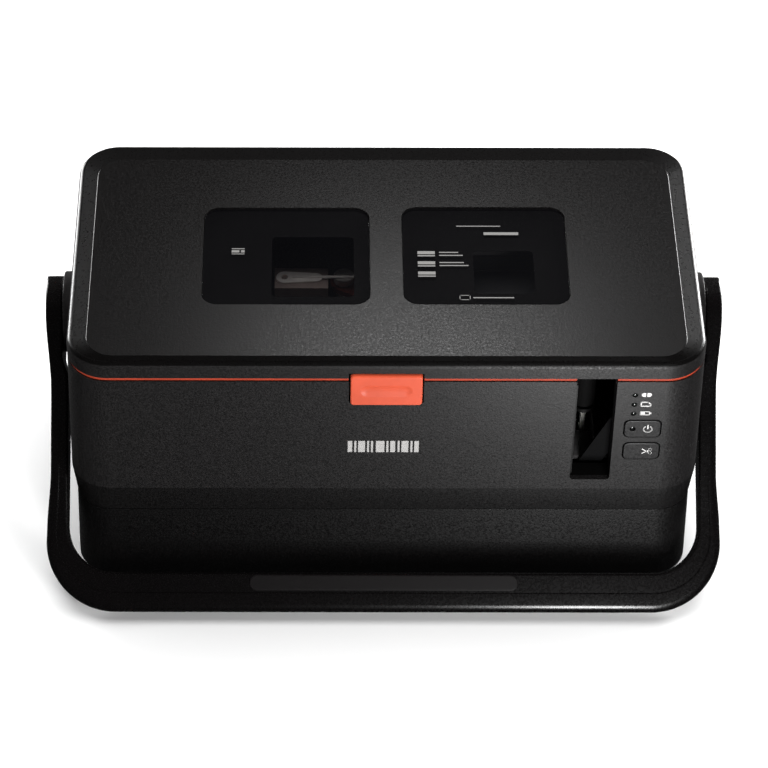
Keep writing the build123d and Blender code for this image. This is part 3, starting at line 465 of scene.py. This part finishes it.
def make_cover():
    """The lid: upright sides, a fillet, a sloping band and a raised flat with two window recesses."""
    rings = []
    ceiling = TOP_Z - COVER_SKIN
    for z in (ceiling, COVER_Z):
        rings.append(cover_ring(COVER_WALL, COVER_WALL, COVER_WALL, CORNER_R - COVER_WALL, z))
    rings.append(cover_ring(0, 0, 0, CORNER_R, COVER_Z))
    steps = 12
    for step in range(steps + 1):
        t = (step / steps) ** 0.8            # the rings crowd a little towards the top
        z = FILLET_Z0 + (BAND_LOW - FILLET_Z0) * sin(t * pi / 2)
        side, front, back = (fillet_inset(z, inset, turn_z) for inset, turn_z in FILLETS)
        rings.append(cover_ring(side, front, back, CORNER_R - side, z))
    half, front, back, r = FLAT
    flat_side, flat_back = HALF_W - half, DEPTH - back
    grow = 0.2
    rings.append(cover_ring(2.75, 1.85, 1.25, CORNER_R - 2.75, BAND_LOW - 0.06))
    rings.append(cover_ring(flat_side - grow, front - grow, flat_back - grow, r + grow, TOP_Z - LIP))
    rings.append(cover_ring(flat_side, front, flat_back, r, TOP_Z))
    cover = skin("cover_shell", rings)

    reach = BUTTON_X + BUTTON_GAP
    cutters = [box_solid(-reach, reach, -1, 14, COVER_Z - 1, BUTTON_Z1 + 0.5)]
    for x0, x1, y0, y1 in WINDOWS.values():
        recess = rounded(x0, x1, y0, y1, WINDOW_R)
        cutters.append(skin("cut", [in_plan(recess, TOP_Z - 2.0), in_plan(recess, TOP_Z + 1)]))
        hole = rounded(x0 + 3, x1 - 3, y0 + 3, y1 - 3, WINDOW_R - 3)
        cutters.append(skin("cut", [in_plan(hole, COVER_Z), in_plan(hole, TOP_Z)]))
    carve(cover, *cutters)
    soften(cover, 0.3, 2)
    # the flat and the band take darker copies of the sides' plastic as painted shade; each of the three
    # also has its own grain and gloss
    cover.data.materials.clear()
    for material in (PLATEAU_PAINTED_SHADE, BAND_PAINTED_SHADE, SKIRT):
        cover.data.materials.append(material)
    for face in cover.data.polygons:
        z = face.center.z / MM
        if z > TOP_Z - LIP * 0.9 and face.normal.z > 0.9:
            face.material_index = 0
        elif z > FILLET_Z0 + 1.6 and face.normal.z > 0.05:
            face.material_index = 1
        else:
            face.material_index = 2
    finish(cover, None, "cover", "cover_plastic", "top_cover")


def make_cover_inside():
    """Stiffening ribs under the cover and its half of the hinges."""
    low, high = COVER_Z + 2.0, TOP_Z - 3.2
    ribs = [box_solid(x - 0.8, x + 0.8, 14, 150, low, high) for x in (-120.0, 0.0, 120.0)]
    ribs.append(box_solid(-151, 151, 130, 131.6, low, high))
    piece = soften(join("cover_ribs", ribs), 0.25, 2)
    finish(piece, INNER_PAINTED_LIGHT, "cover", "cover_plastic", "top_cover")
    knuckles = []
    half = 14.6
    for x in HINGE_XS:
        outline = circle(HINGE_Y, HINGE_Z, KNUCKLE_R, 28)
        knuckles.append(side_prism(outline, x - half, x + half))
        web = [(HINGE_Y - KNUCKLE_R, HINGE_Z), (HINGE_Y + KNUCKLE_R, HINGE_Z)]
        web += [(HINGE_Y + KNUCKLE_R, COVER_Z + 4), (HINGE_Y - KNUCKLE_R, COVER_Z + 4)]
        knuckles.append(side_prism(web, x - half, x + half))
    piece = soften(join("cover_knuckles", knuckles), 0.2, 2)
    finish(piece, SKIRT, "cover", "cover_plastic", "top_cover")


def make_windows():
    """Each window is a polished pane with a black print under it, left clear in one corner."""
    gap = 0.35
    for side, (x0, x1, y0, y1) in WINDOWS.items():
        low, high = TOP_Z - 1.7, TOP_Z - PANE_DOWN
        edges = ((0.15, low), (0.0, low + 0.2), (0.0, high - 0.5), (0.12, high - 0.2), (0.45, high))
        rings = []
        for inset, z in edges:
            grow = gap + inset
            ring = rounded(x0 + grow, x1 - grow, y0 + grow, y1 - grow, WINDOW_R - grow)
            rings.append(in_plan(ring, z))
        pane = skin(f"window_pane_{side}_polished", rings)
        soften(pane, 0)
        finish(pane, PANE, "cover", "window_smoke", f"window_pane_{side}")

        outer = rounded(x0 + 0.3, x1 - 0.3, y0 + 0.3, y1 - 0.3, WINDOW_R - 0.3)
        hole = rounded(*CLEAR[side], CLEAR_R)
        low, high = TOP_Z - 2.0, TOP_Z - 1.72
        loops = [in_plan(outer, low), in_plan(outer, high), in_plan(hole, high), in_plan(hole, low)]
        mask = skin(f"window_mask_{side}", loops, closed=True)
        soften(mask, 0)
        finish(mask, BLACK_PRINT, "cover", "window_black", "window_masks")


# ---------------------------------------------------------------- upper case, strip, base
def body_ring(half, front, back_in, r, z, inset=0.0):
    plan = rounded(-half + inset, half - inset, front + inset, DEPTH - back_in - inset, r - inset)
    return in_plan(plan, z)


def case_ring(z, inset=0.0):
    """The case's outline at its top, at the band's top or at the seam."""
    if z == SEAM_Z:
        return body_ring(HALF_W + FLARE - SEAM_IN, SEAM_IN, SEAM_BACK_IN, CORNER_R - SEAM_IN, z, inset)
    return body_ring(HALF_W + FLARE * (CASE_Z - z) / (CASE_Z - BAND_Z), 0.0, 0.0, CORNER_R, z, inset)


def make_upper_case():
    """The case's shell: it widens down to the band, which comes in to the seam."""
    rings = [case_ring(SEAM_Z), case_ring(BAND_Z), case_ring(CASE_Z)]
    rings += [case_ring(CASE_Z, WALL), case_ring(BAND_Z + 2, WALL), case_ring(SEAM_Z, WALL)]
    case = skin("upper_case_shell", rings, closed=True)
    x0, x1, z0 = SLOT
    cutters = [front_prism(rounded(x0, x1, z0, CASE_Z + 20, 2.0), -5, 6)]
    button = rounded(-BUTTON_X - BUTTON_GAP, BUTTON_X + BUTTON_GAP, BUTTON_Z0 - 0.6, CASE_Z + 20, 1.8)
    cutters.append(front_prism(button, -5, 6))
    for kx0, kx1, kz0, kz1 in KEYS.values():
        hole = rounded(kx0 - KEY_GAP, kx1 + KEY_GAP, kz0 - KEY_GAP, kz1 + KEY_GAP, 3.2)
        cutters.append(front_prism(hole, -5, 6))
    for z in LAMP_ZS:
        cutters.append(front_prism(circle(LAMP_X, z, LAMP_R + 0.25), -5, 6))
    cutters.append(side_prism(circle(INLET_Y, INLET_Z, 9.0), -HALF_W - 4, -HALF_W + 7))
    cutters.append(box_solid(-147, 147, 156.5, DEPTH + 2, HINGE_Z - 3.2, CASE_Z + 1))
    carve(case, *cutters)
    soften(case, 0.32, 3)
    case.data.materials.clear()
    case.data.materials.append(CASE)
    case.data.materials.append(CASE_BAND_PAINTED_SHADE)
    # faces below the band's top take the darker copy: painted shade
    for face in case.data.polygons:
        if face.center.z < (BAND_Z - 0.2) * MM:
            face.material_index = 1
    finish(case, None, "case", "case_plastic", "upper_case")


def make_bosses():
    """The round bosses that carry the handle, and the case's half of the hinges."""
    for side, name in ((-1, "left"), (1, "right")):
        profile = [(0.0, 20.0), (1.0, 20.5), (6.2, 20.5), (6.8, 20.3), (7.05, 19.9)]
        turned = [(side * (154.0 + along), r) for along, r in profile]
        boss = lathe(f"handle_boss_{name}", turned, (0, PIVOT_Y, PIVOT_Z), "x", 96)
        soften(boss, 0)
        finish(boss, CASE, "case", "case_plastic", "upper_case")
    knuckles = []
    for x in HINGE_XS:
        for side in (-1, 1):
            near, far = sorted((x + side * 15.0, x + side * 25.0))
            knuckles.append(side_prism(circle(HINGE_Y, HINGE_Z, KNUCKLE_R, 28), near, far))
            web = [(HINGE_Y - 0.3, HINGE_Z - 4), (HINGE_Y + 1.0, HINGE_Z - 4)]
            web += [(HINGE_Y + 1.0, HINGE_Z), (HINGE_Y - 0.3, HINGE_Z)]
            knuckles.append(side_prism(web, near, far))
    piece = soften(join("case_knuckles", knuckles), 0.2, 2)
    finish(piece, CASE, "case", "case_plastic", "upper_case")


def make_strip():
    """The bright line between case and cover, open behind, at the button and at the slot."""
    z0, z1, outer, inner = CASE_Z, STRIP_Z, 0.7, 2.2
    corners = ((z0, outer), (z1, outer), (z1, inner), (z0, inner))
    loops = [body_ring(HALF_W, 0, 0, CORNER_R, z, inset) for z, inset in corners]
    strip = skin("accent_line", loops, closed=True)
    cutters = [
        box_solid(-200, 200, 150, 200, z0 - 1, z1 + 1),
        box_solid(-BUTTON_X - BUTTON_GAP, BUTTON_X + BUTTON_GAP, -5, 6, z0 - 1, z1 + 1),
        box_solid(SLOT[0], SLOT[1], -5, 6, z0 - 1, z1 + 1),
    ]
    carve(strip, *cutters)
    soften(strip, 0.25, 3)
    # the strip's darker orange is painted shade
    finish(strip, STRIP_ORANGE_PAINTED_SHADE, "case", "accent_orange", "accent_strip")


def make_base():
    """The lower casing, which widens a little towards its foot."""
    back_in, wall = SEAM_BACK_IN + 0.5, 2.5
    back = DEPTH - back_in
    top_half, r = HALF_W + FLARE - SEAM_IN, CORNER_R - 2.0
    foot_half, foot_front = top_half + 0.8, 0.0
    seam = SEAM_Z - 0.35
    rings = [
        body_ring(foot_half - 0.5, foot_front + 0.5, back_in + 0.5, r, BASE_Z - 0.4),
        body_ring(foot_half, foot_front, back_in, r, BASE_Z + 0.1),
        body_ring(foot_half, foot_front, back_in, r, BASE_Z + 1.0),
        body_ring(top_half, SEAM_IN, back_in, r, seam),
        body_ring(top_half, SEAM_IN, back_in, r, seam, wall),
        body_ring(foot_half, foot_front, back_in, r, BASE_Z + 2.5, wall),
    ]
    base = skin("base_shell", rings)
    x0, x1, z0, z1 = BATTERY
    cutters = [box_solid(x0 - 0.5, x1 + 0.5, back - 8, back + 5, z0 - 0.5, z1 + 0.5)]
    for px0, px1, pz0, pz1 in (JACK, PORT):
        cutters.append(box_solid(px0, px1, back - 8, back + 5, pz0, pz1))
    carve(base, *cutters)
    soften(base, 0.25, 2)
    finish(base, BASE, "case", "base_plastic", "base_case")


def make_feet():
    profile = [(0.0, 7.0), (0.25, 7.7), (0.8, 8.0), (2.6, 8.0)]
    feet = []
    for x in (-125.0, 125.0):
        for y in (30.0, 136.0):
            feet.append(lathe("foot", profile, (x, y, 0), "z", 40))
    piece = soften(join("foot_pads", feet), 0)
    finish(piece, FOOT, "case", "foot_rubber", "rubber_feet")


# ---------------------------------------------------------------- handle
IN_HANDLE = Matrix.Translation((0, PIVOT_Y, PIVOT_Z)) @ Matrix.Rotation(radians(HANDLE_TILT), 4, "X")
OUTER_R, INNER_R = 35.0, 23.0
STEP_AT, STEP_DOWN = 142.2, 0.5          # the bar's inner part is a little lower than its outer part


def arm_edges(reach):
    """Outer and inner x of the arm at a distance from the pivot."""
    outer_points = ((-20.0, EAR_OUT), (2.0, EAR_OUT), (40.0, 167.2), (80.0, 167.4), (114.0, 169.5))
    inner_points = ((-20.0, EAR_IN), (24.0, EAR_IN), (34.0, 158.5), (114.0, 158.5))
    edges = []
    for points in (outer_points, inner_points):
        for (r0, x0), (r1, x1) in zip(points, points[1:]):
            if r0 <= reach <= r1:
                t = (reach - r0) / (r1 - r0)
                edges.append(x0 + (x1 - x0) * t * t * (3 - 2 * t))
                break
    return edges


def arm_half(reach):
    """Half the arm's thickness, across its face, at a distance from the pivot."""
    tangent, tangent_half = 2.66, 17.8
    if reach < tangent:
        return sqrt(max(0.6, EAR_R ** 2 - reach ** 2))
    for r0, h0, r1, h1 in ((tangent, tangent_half, 45.0, 11.5), (45.0, 11.5, 105.0, BAR_HALF_T)):
        if reach < r1:
            return h0 + (h1 - h0) * (reach - r0) / (r1 - r0)
    return BAR_HALF_T


def handle_stations():
    """Outer point, inner point, half thickness and edge radius along the right half of the handle."""
    stations = []
    for angle in (4, 10, 18, 28, 38, 48, 58, 68, 78, 86):
        reach = -EAR_R * cos(radians(angle))
        stations.append((reach, 1.3))
    reach = 0.0
    while reach < 108.0:
        stations.append((reach, 1.3 + (BAR_EDGE - 1.3) * min(1.0, max(0.0, reach - 20) / 85)))
        reach += 4.0
    spans = []
    for reach, edge in stations:
        outer, inner = arm_edges(reach)
        spans.append(((outer, reach), (inner, reach), arm_half(reach), edge))
    cx_out, cx_in = EAR_OUT - 0.2 - OUTER_R, 158.5 - INNER_R
    cy_out, cy_in = BAR_OUT - OUTER_R, BAR_IN - INNER_R
    steps = 24
    for step in range(steps + 1):
        a = radians(90 * step / steps)
        outer = (cx_out + OUTER_R * cos(a), cy_out + OUTER_R * sin(a))
        inner = (cx_in + INNER_R * cos(a), cy_in + INNER_R * sin(a))
        spans.append((outer, inner, BAR_HALF_T, BAR_EDGE))
    for x in (110.0, 90.0, 60.0, 30.0, 0.0):
        spans.append(((x, BAR_OUT), (x, BAR_IN), BAR_HALF_T, BAR_EDGE))
    return spans


def handle_section(outer, inner, half, edge, stepped):
    """One cross-section: a rounded rectangle from inner to outer point, with the step on its face."""
    across = Vector((outer[0] - inner[0], outer[1] - inner[1]))
    width = across.length
    across.normalize()
    edge = min(edge, half * 0.8)
    inner_edge = min(edge, 1.6)
    points = []

    def corner(cu, cw, r, start):
        for step in range(6):
            a = radians(start + 90 * step / 5)
            points.append((cu + r * cos(a), cw + r * sin(a)))

    down = STEP_DOWN * stepped
    corner(width - edge, -half + edge, edge, -90)
    corner(width - edge, half - edge, edge, 0)
    at = width * (STEP_AT - BAR_IN) / (BAR_OUT - BAR_IN)
    points += [(at + 0.35, half), (at + 0.1, half - 0.1 * stepped), (at - 0.25, half - down)]
    corner(inner_edge, half - down - inner_edge, inner_edge, 90)
    corner(inner_edge, -half + inner_edge, inner_edge, 180)
    ring = []
    for u, w in points:
        x = inner[0] + across.x * u
        reach = inner[1] + across.y * u
        ring.append((x, -reach, w))
    return ring


def make_handle():
    """The bow: two arms and the bar, drawn in its own plane and turned about the pivots."""
    right = handle_stations()
    rings = []
    for outer, inner, half, edge in right:
        stepped = min(1.0, max(0.0, (outer[1] - 60.0) / 45.0))
        rings.append(handle_section(outer, inner, half, edge, stepped))
    for ring in reversed(rings[:-1]):
        rings.append([(-x, y, z) for x, y, z in ring])
    handle = skin("handle_bow", rings, turn=IN_HANDLE)
    soften(handle, 0)
    finish(handle, HANDLE, "handle", "handle_plastic", "handle_frame")


def make_grip():
    """The soft pad along the bar's inner edge."""
    top, under = BAR_HALF_T + 0.15, BAR_HALF_T - 2.0

    def shrunk(inset, height):
        near, far, r = GRIP_IN + inset, GRIP_OUT - inset, 3.8 - inset
        loop = rounded(-GRIP_X + inset, GRIP_X - inset, near, far, r, 10)
        return [(x, -reach, height) for x, reach in loop]

    rings = [shrunk(0.0, -BAR_HALF_T + 0.8), shrunk(0.0, under)]
    for step in range(6):
        a = radians(90 * step / 5)
        rings.append(shrunk(0.9 * (1 - cos(a)), top - 0.9 + 0.9 * sin(a)))
    grip = skin("grip_pad", rings, turn=IN_HANDLE)
    soften(grip, 0)
    finish(grip, GRIP, "handle", "grip_pad", "handle_grip")


def make_pivot_caps():
    caps = []
    for side in (-1, 1):
        profile = [(side * PIN_IN, PIN_R), (side * PIN_OUT, PIN_R)]
        caps.append(lathe("pin", profile, (0, PIVOT_Y, PIVOT_Z), "x", 32))
    piece = soften(join("handle_pins", caps), 0.3, 2)
    finish(piece, STEEL, "case", "steel", "handle_pivots")


# ---------------------------------------------------------------- button, keys, lamps
def make_button():
    """The release button: rounded edges and a long thumb scoop."""
    x, z0, z1 = BUTTON_X, BUTTON_Z0, BUTTON_Z1
    mid, face, edge = (z0 + z1) / 2, -1.8, 0.9
    rings = [in_front(rounded(-x, x, z0, z1, 1.7), 4.5)]
    for step in range(7):
        a = radians(90 * step / 6)
        inset = edge * (1 - cos(a))
        rings.append(in_front(rounded(-x + inset, x - inset, z0 + inset, z1 - inset, 1.7 - inset * 0.9),
                              face + edge - edge * sin(a)))
    scoop_x, scoop_r, depth = 12.9, 3.95, 0.75
    steps = 12
    for step in range(steps):
        rho = 1 - step / steps
        r = scoop_r * rho
        reach = scoop_x - scoop_r + r
        ring = rounded(-reach, reach, mid - r, mid + r, r * 0.999)
        rings.append(in_front(ring, face + depth * (1 - rho ** 2) ** 1.4))
    button = skin("button_cap", rings)
    soften(button, 0)
    finish(button, ORANGE, "button", "accent_orange", "release_button")


def make_keys():
    for name, (x0, x1, z0, z1) in KEYS.items():
        rings = [in_front(rounded(x0, x1, z0, z1, 2.6), 3.4)]
        for step in range(6):
            a = radians(90 * step / 5)
            inset = 0.5 * (1 - cos(a))
            ring = rounded(x0 + inset, x1 - inset, z0 + inset, z1 - inset, 2.6 - inset)
            rings.append(in_front(ring, -0.15 - 0.35 * sin(a)))
        key = skin(f"{name}_cap", rings)
        if name == "power_key":
            carve(key, front_prism(circle(*POWER_LAMP, LAMP_R + 0.3), -2, 2.5))
        soften(key, 0.12, 2)
        finish(key, KEY, name, "key_black", name)


def make_lamps():
    domes = []
    profile = [(5.0, LAMP_R)]
    for degrees in range(0, 90, 12):
        a = radians(degrees)
        profile.append((LAMP_R * 0.75 * (1 - sin(a)), LAMP_R * cos(a)))
    for x, z, y in [(LAMP_X, z, 0.3) for z in LAMP_ZS] + [(*POWER_LAMP, 0.6)]:
        domes.append(lathe("lamp", profile, (x, y - 0.5, z), "y", 28))
    piece = soften(join("lamp_domes", domes), 0)
    finish(piece, LENS, "case", "lamp_lens", "status_lamps")


# ---------------------------------------------------------------- printed marks
def stroke(points, width, closed=False):
    """A flat line of a width through points: one four-sided outline for each straight run."""
    runs = []
    ends = list(zip(points, points[1:] + points[:1])) if closed else list(zip(points, points[1:]))
    for (x0, y0), (x1, y1) in ends:
        length = hypot(x1 - x0, y1 - y0) or 1.0
        ux, uy = (x1 - x0) / length, (y1 - y0) / length
        nx, ny = -uy * width / 2, ux * width / 2
        ex, ey = ux * width * 0.25, uy * width * 0.25
        runs.append([(x0 - ex + nx, y0 - ey + ny), (x0 - ex - nx, y0 - ey - ny),
                     (x1 + ex - nx, y1 + ey - ny), (x1 + ex + nx, y1 + ey + ny)])
    return runs


def frame_of(outline, width):
    """A closed outline drawn as a line."""
    return stroke(outline, width, closed=True)


def arc(cx, cy, r, start, end, steps=18):
    return [(cx + r * cos(radians(start + (end - start) * i / steps)),
             cy + r * sin(radians(start + (end - start) * i / steps))) for i in range(steps + 1)]


PRINT_T = 0.04                           # thickness of the ink
KEY_FACE = -0.5


def printed(name, outlines, stand, level, body, slot, material):
    """A thin printed mark: outlines stood up in front of, or laid on, a face at a level."""
    lift = -PRINT_T if stand is in_front else PRINT_T
    pieces = [skin("print", [stand(line, level), stand(line, level + lift)]) for line in outlines]
    finish(join(name, pieces), material, body, slot)


def front_marks():
    """Generic marks on the front: a bar mark, three lamp signs, a power sign and a scissors sign."""
    widths_and_gaps = ((2.2, 1.0), (1.0, 0.9), (3.4, 1.0), (1.0, 0.9), (1.0, 1.4), (4.2, 1.0),
                       (1.0, 0.9), (2.4, 1.2), (1.0, 0.9), (3.4, 1.0), (1.0, 0.9), (2.2, 1.0))
    bars = []
    x = -18.4
    for width, gap in widths_and_gaps:
        bars.append(bar(x, x + width, 88.6, 96.4))
        x += width + gap
    printed("bar_mark", bars, in_front, 0.0, "case", "tape_white", MARK)

    signs = [arc(124.9, 128.2, 1.3, 90, 270) + [(125.7, 126.9), (125.7, 129.5)],
             arc(127.2, 128.2, 1.3, -90, 90) + [(126.3, 129.5), (126.3, 126.9)]]
    tag = [(123.8, 120.6), (128.4, 120.6), (128.4, 122.0), (127.1, 123.3), (123.8, 123.3)]
    signs += frame_of(tag, 0.6)
    signs += frame_of([(123.8, 114.7), (128.2, 114.7), (128.2, 116.8), (123.8, 116.8)], 0.45)
    signs.append(bar(123.8, 126.0, 114.7, 116.8))
    signs.append(bar(128.6, 129.1, 115.2, 116.3))
    printed("lamp_signs", signs, in_front, 0.0, "case", "tape_white", INK)

    cx, cz = 128.1, 105.3
    power = stroke(arc(cx, cz, 2.05, 125, 415), 0.6) + stroke([(cx, cz + 0.3), (cx, cz + 2.7)], 0.6)
    printed("power_sign", power, in_front, KEY_FACE, "power_key", "tape_white", INK)

    sx, sz = 128.6, 90.0
    blades = stroke([(sx - 2.3, sz + 1.5), (sx + 1.0, sz - 0.7)], 0.5)
    blades += stroke([(sx - 2.3, sz - 1.5), (sx + 1.0, sz + 0.7)], 0.5)
    for side in (-1, 1):
        blades += frame_of(circle(sx + 1.75, sz + side * 1.15, 0.72, 14), 0.42)
    printed("scissors_sign", blades, in_front, KEY_FACE, "cut_key", "tape_white", INK)


def window_marks():
    """Generic signs on the panes: short lines for text, tags for the kinds of tape."""
    level = TOP_Z - PANE_DOWN
    left = [bar(-76.0, -69.6, 80.4, 81.0), bar(-76.0, -72.2, 77.9, 79.6), bar(-71.4, -69.6, 77.9, 79.6)]
    left.append(bar(-76.0, -69.6, 76.6, 77.1))
    right = [bar(36.0, 58.0, 97.6, 98.2), bar(49.5, 66.8, 91.3, 93.3)]
    for row in (76.9, 69.4, 61.9):
        right.append(bar(16.2, 24.8, row, row + 2.2))
        right.append(bar(16.2, 24.8, row - 1.6, row - 0.7))
    for row, end in ((76.9, 38.6), (69.4, 41.2)):
        right.append(bar(26.9, end - 2.2, row + 1.0, row + 1.7))
        right.append(bar(26.9, end, row - 1.2, row - 0.5))
    right += frame_of(rounded(36.3, 41.3, 43.7, 46.8, 0.5, 4), 0.4)
    right.append(bar(42.8, 62.8, 44.8, 45.5))
    printed("left_window_signs", left, in_plan, level, "cover", "tape_white", FAINT_MARK)
    printed("right_window_signs", right, in_plan, level, "cover", "tape_white", FAINT_MARK)


# ---------------------------------------------------------------- CAD nodes that stay
KEPT = {
    INNER_PAINTED_LIGHT: ("deck", "tube_guide", "tube_inlet", "battery_bay", "latch_hooks", "latch_bar"),
    SLOT_BLACK: ("slot_liner", "tape_pressure_arm"),
    NICKEL_PAINTED_REFLECTION: ("tube_head_lever", "lever_hub"),
    DULL_STEEL: ("tube_head_bracket",),
    STEEL: ("hinge_pins", "case_screws", "gear_plate", "pressure_arm_pin", "feed_motor", "cutter_motor"),
    STEEL_PAINTED_SHADE: ("cutter_fixed_blade", "cutter_moving_blade", "tape_head_plate"),
    SINK: ("tape_print_head",),
    CERAMIC: ("tube_print_head",),
    GEAR_WHITE: ("drive_gear", "idler_gear_a", "idler_gear_b", "ribbon_spindle", "platen_gear",
                 "tube_roller_gear"),
    BRASS: ("feed_pinion", "cutter_pinion"),
    ROLLER: ("platen_roller", "tube_roller"),
    BOARD: ("main_board", "key_board"),
    CHIP: ("board_components", "power_jack", "data_port"),
    CASSETTE: ("tape_cassette_case", "tape_cassette_lid", "ribbon_cassette", "ribbon_takeup_spool",
               "ribbon_reels"),
    TAPE: ("tape_roll",),
    LEVER_RED: ("tube_release_lever",),
    KEY: ("battery_pack",),
}


def dress_nodes():
    """Gives the CAD nodes that stay in sight their materials."""
    for material, names in KEPT.items():
        for name in names:
            mesh = nodes[name].data
            mesh.materials.clear()
            mesh.materials.append(material)


# ---------------------------------------------------------------- stage, light, camera
def make_stage():
    bpy.ops.mesh.primitive_plane_add(size=12.0, location=(0, 0, 0))
    floor = bpy.context.object
    floor.name = "floor"
    n = Nodes("pale_floor")
    n.colour(n.mix(n.ramp(n.noise(300.0), 0.3, 0.7), (0.86, 0.86, 0.86), (0.88, 0.88, 0.88)))
    n.rough(n.ramp(n.noise(40.0), 0.3, 0.7, 0.85, 0.95))
    n.shader.inputs["Specular IOR Level"].default_value = 0.0
    floor.data.materials.append(n.material)
    floor.visible_glossy = False


def softbox(name, at, aim, width, height, watts, glossy=True):
    """An area light at a drawn point, in mm, aimed at another."""
    light = bpy.data.lights.new(name, "AREA")
    light.shape = "RECTANGLE"
    light.size = width * MM
    light.size_y = height * MM
    light.energy = watts
    lamp = bpy.data.objects.new(name, light)
    bpy.context.scene.collection.objects.link(lamp)
    lamp.location = place(at)
    lamp.rotation_euler = (place(aim) - place(at)).to_track_quat("-Z", "Y").to_euler()
    lamp.visible_glossy = glossy
    lamp.visible_camera = False
    return lamp


def make_lights():
    world = bpy.data.worlds.new("studio")
    world.use_nodes = True
    world.node_tree.nodes["Background"].inputs["Color"].default_value = (1, 1, 1, 1)
    world.node_tree.nodes["Background"].inputs["Strength"].default_value = 0.03
    bpy.context.scene.world = world
    sky = bpy.data.lights.new("overhead_wash", "SUN")
    sky.energy = 3.65
    sky.angle = radians(62)
    wash = bpy.data.objects.new("overhead_wash", sky)
    bpy.context.scene.collection.objects.link(wash)
    wash.rotation_euler = (radians(-14), 0, 0)
    wash.visible_glossy = False
    middle = (0, 60, 120)
    softbox("front_fill", (350, -700, 420), (30, 0, 90), 260, 260, 5.6, glossy=False)
    sheen = softbox("front_sheen", (120, -240, 58), (95, 0, 80), 60, 116, 1.25)
    sheen.visible_diffuse = False
    softbox("top_sheen", (30, 290, 460), (25, 0, 150), 170, 36, 0.40)
    softbox("rim_left", (-600, 620, 185), middle, 360, 300, 6.0)
    softbox("rim_right", (600, 580, 185), middle, 360, 300, 10.0)


def make_camera():
    """Looks down 44 degrees from just left of the middle, with a small sideways shift."""
    focal_ratio, principal_x = 4.24020, 0.41522
    at, elevation, yaw, roll = (-34.75, -1125.93, 1230.33), 44.204, 0.106, -0.170
    camera = bpy.data.objects.new("camera", bpy.data.cameras.new("camera"))
    bpy.context.scene.collection.objects.link(camera)
    camera.location = place(at)
    turn = Matrix.Rotation(radians(-yaw), 4, "Z") @ Matrix.Rotation(radians(90 - elevation), 4, "X")
    turn = turn @ Matrix.Rotation(radians(-roll), 4, "Z")
    camera.rotation_euler = turn.to_euler()
    camera.data.sensor_width = 36.0
    camera.data.lens = 36.0 * focal_ratio
    camera.data.shift_x = 0.5 - principal_x
    camera.data.clip_start = 0.05
    bpy.context.scene.camera = camera


make_cover()
make_cover_inside()
make_windows()
make_upper_case()
make_bosses()
make_strip()
make_base()
make_feet()
make_handle()
make_grip()
make_pivot_caps()
make_button()
make_keys()
make_lamps()
front_marks()
window_marks()
dress_nodes()
make_stage()
make_lights()
make_camera()
bpy.context.scene.view_settings.view_transform = "Standard"
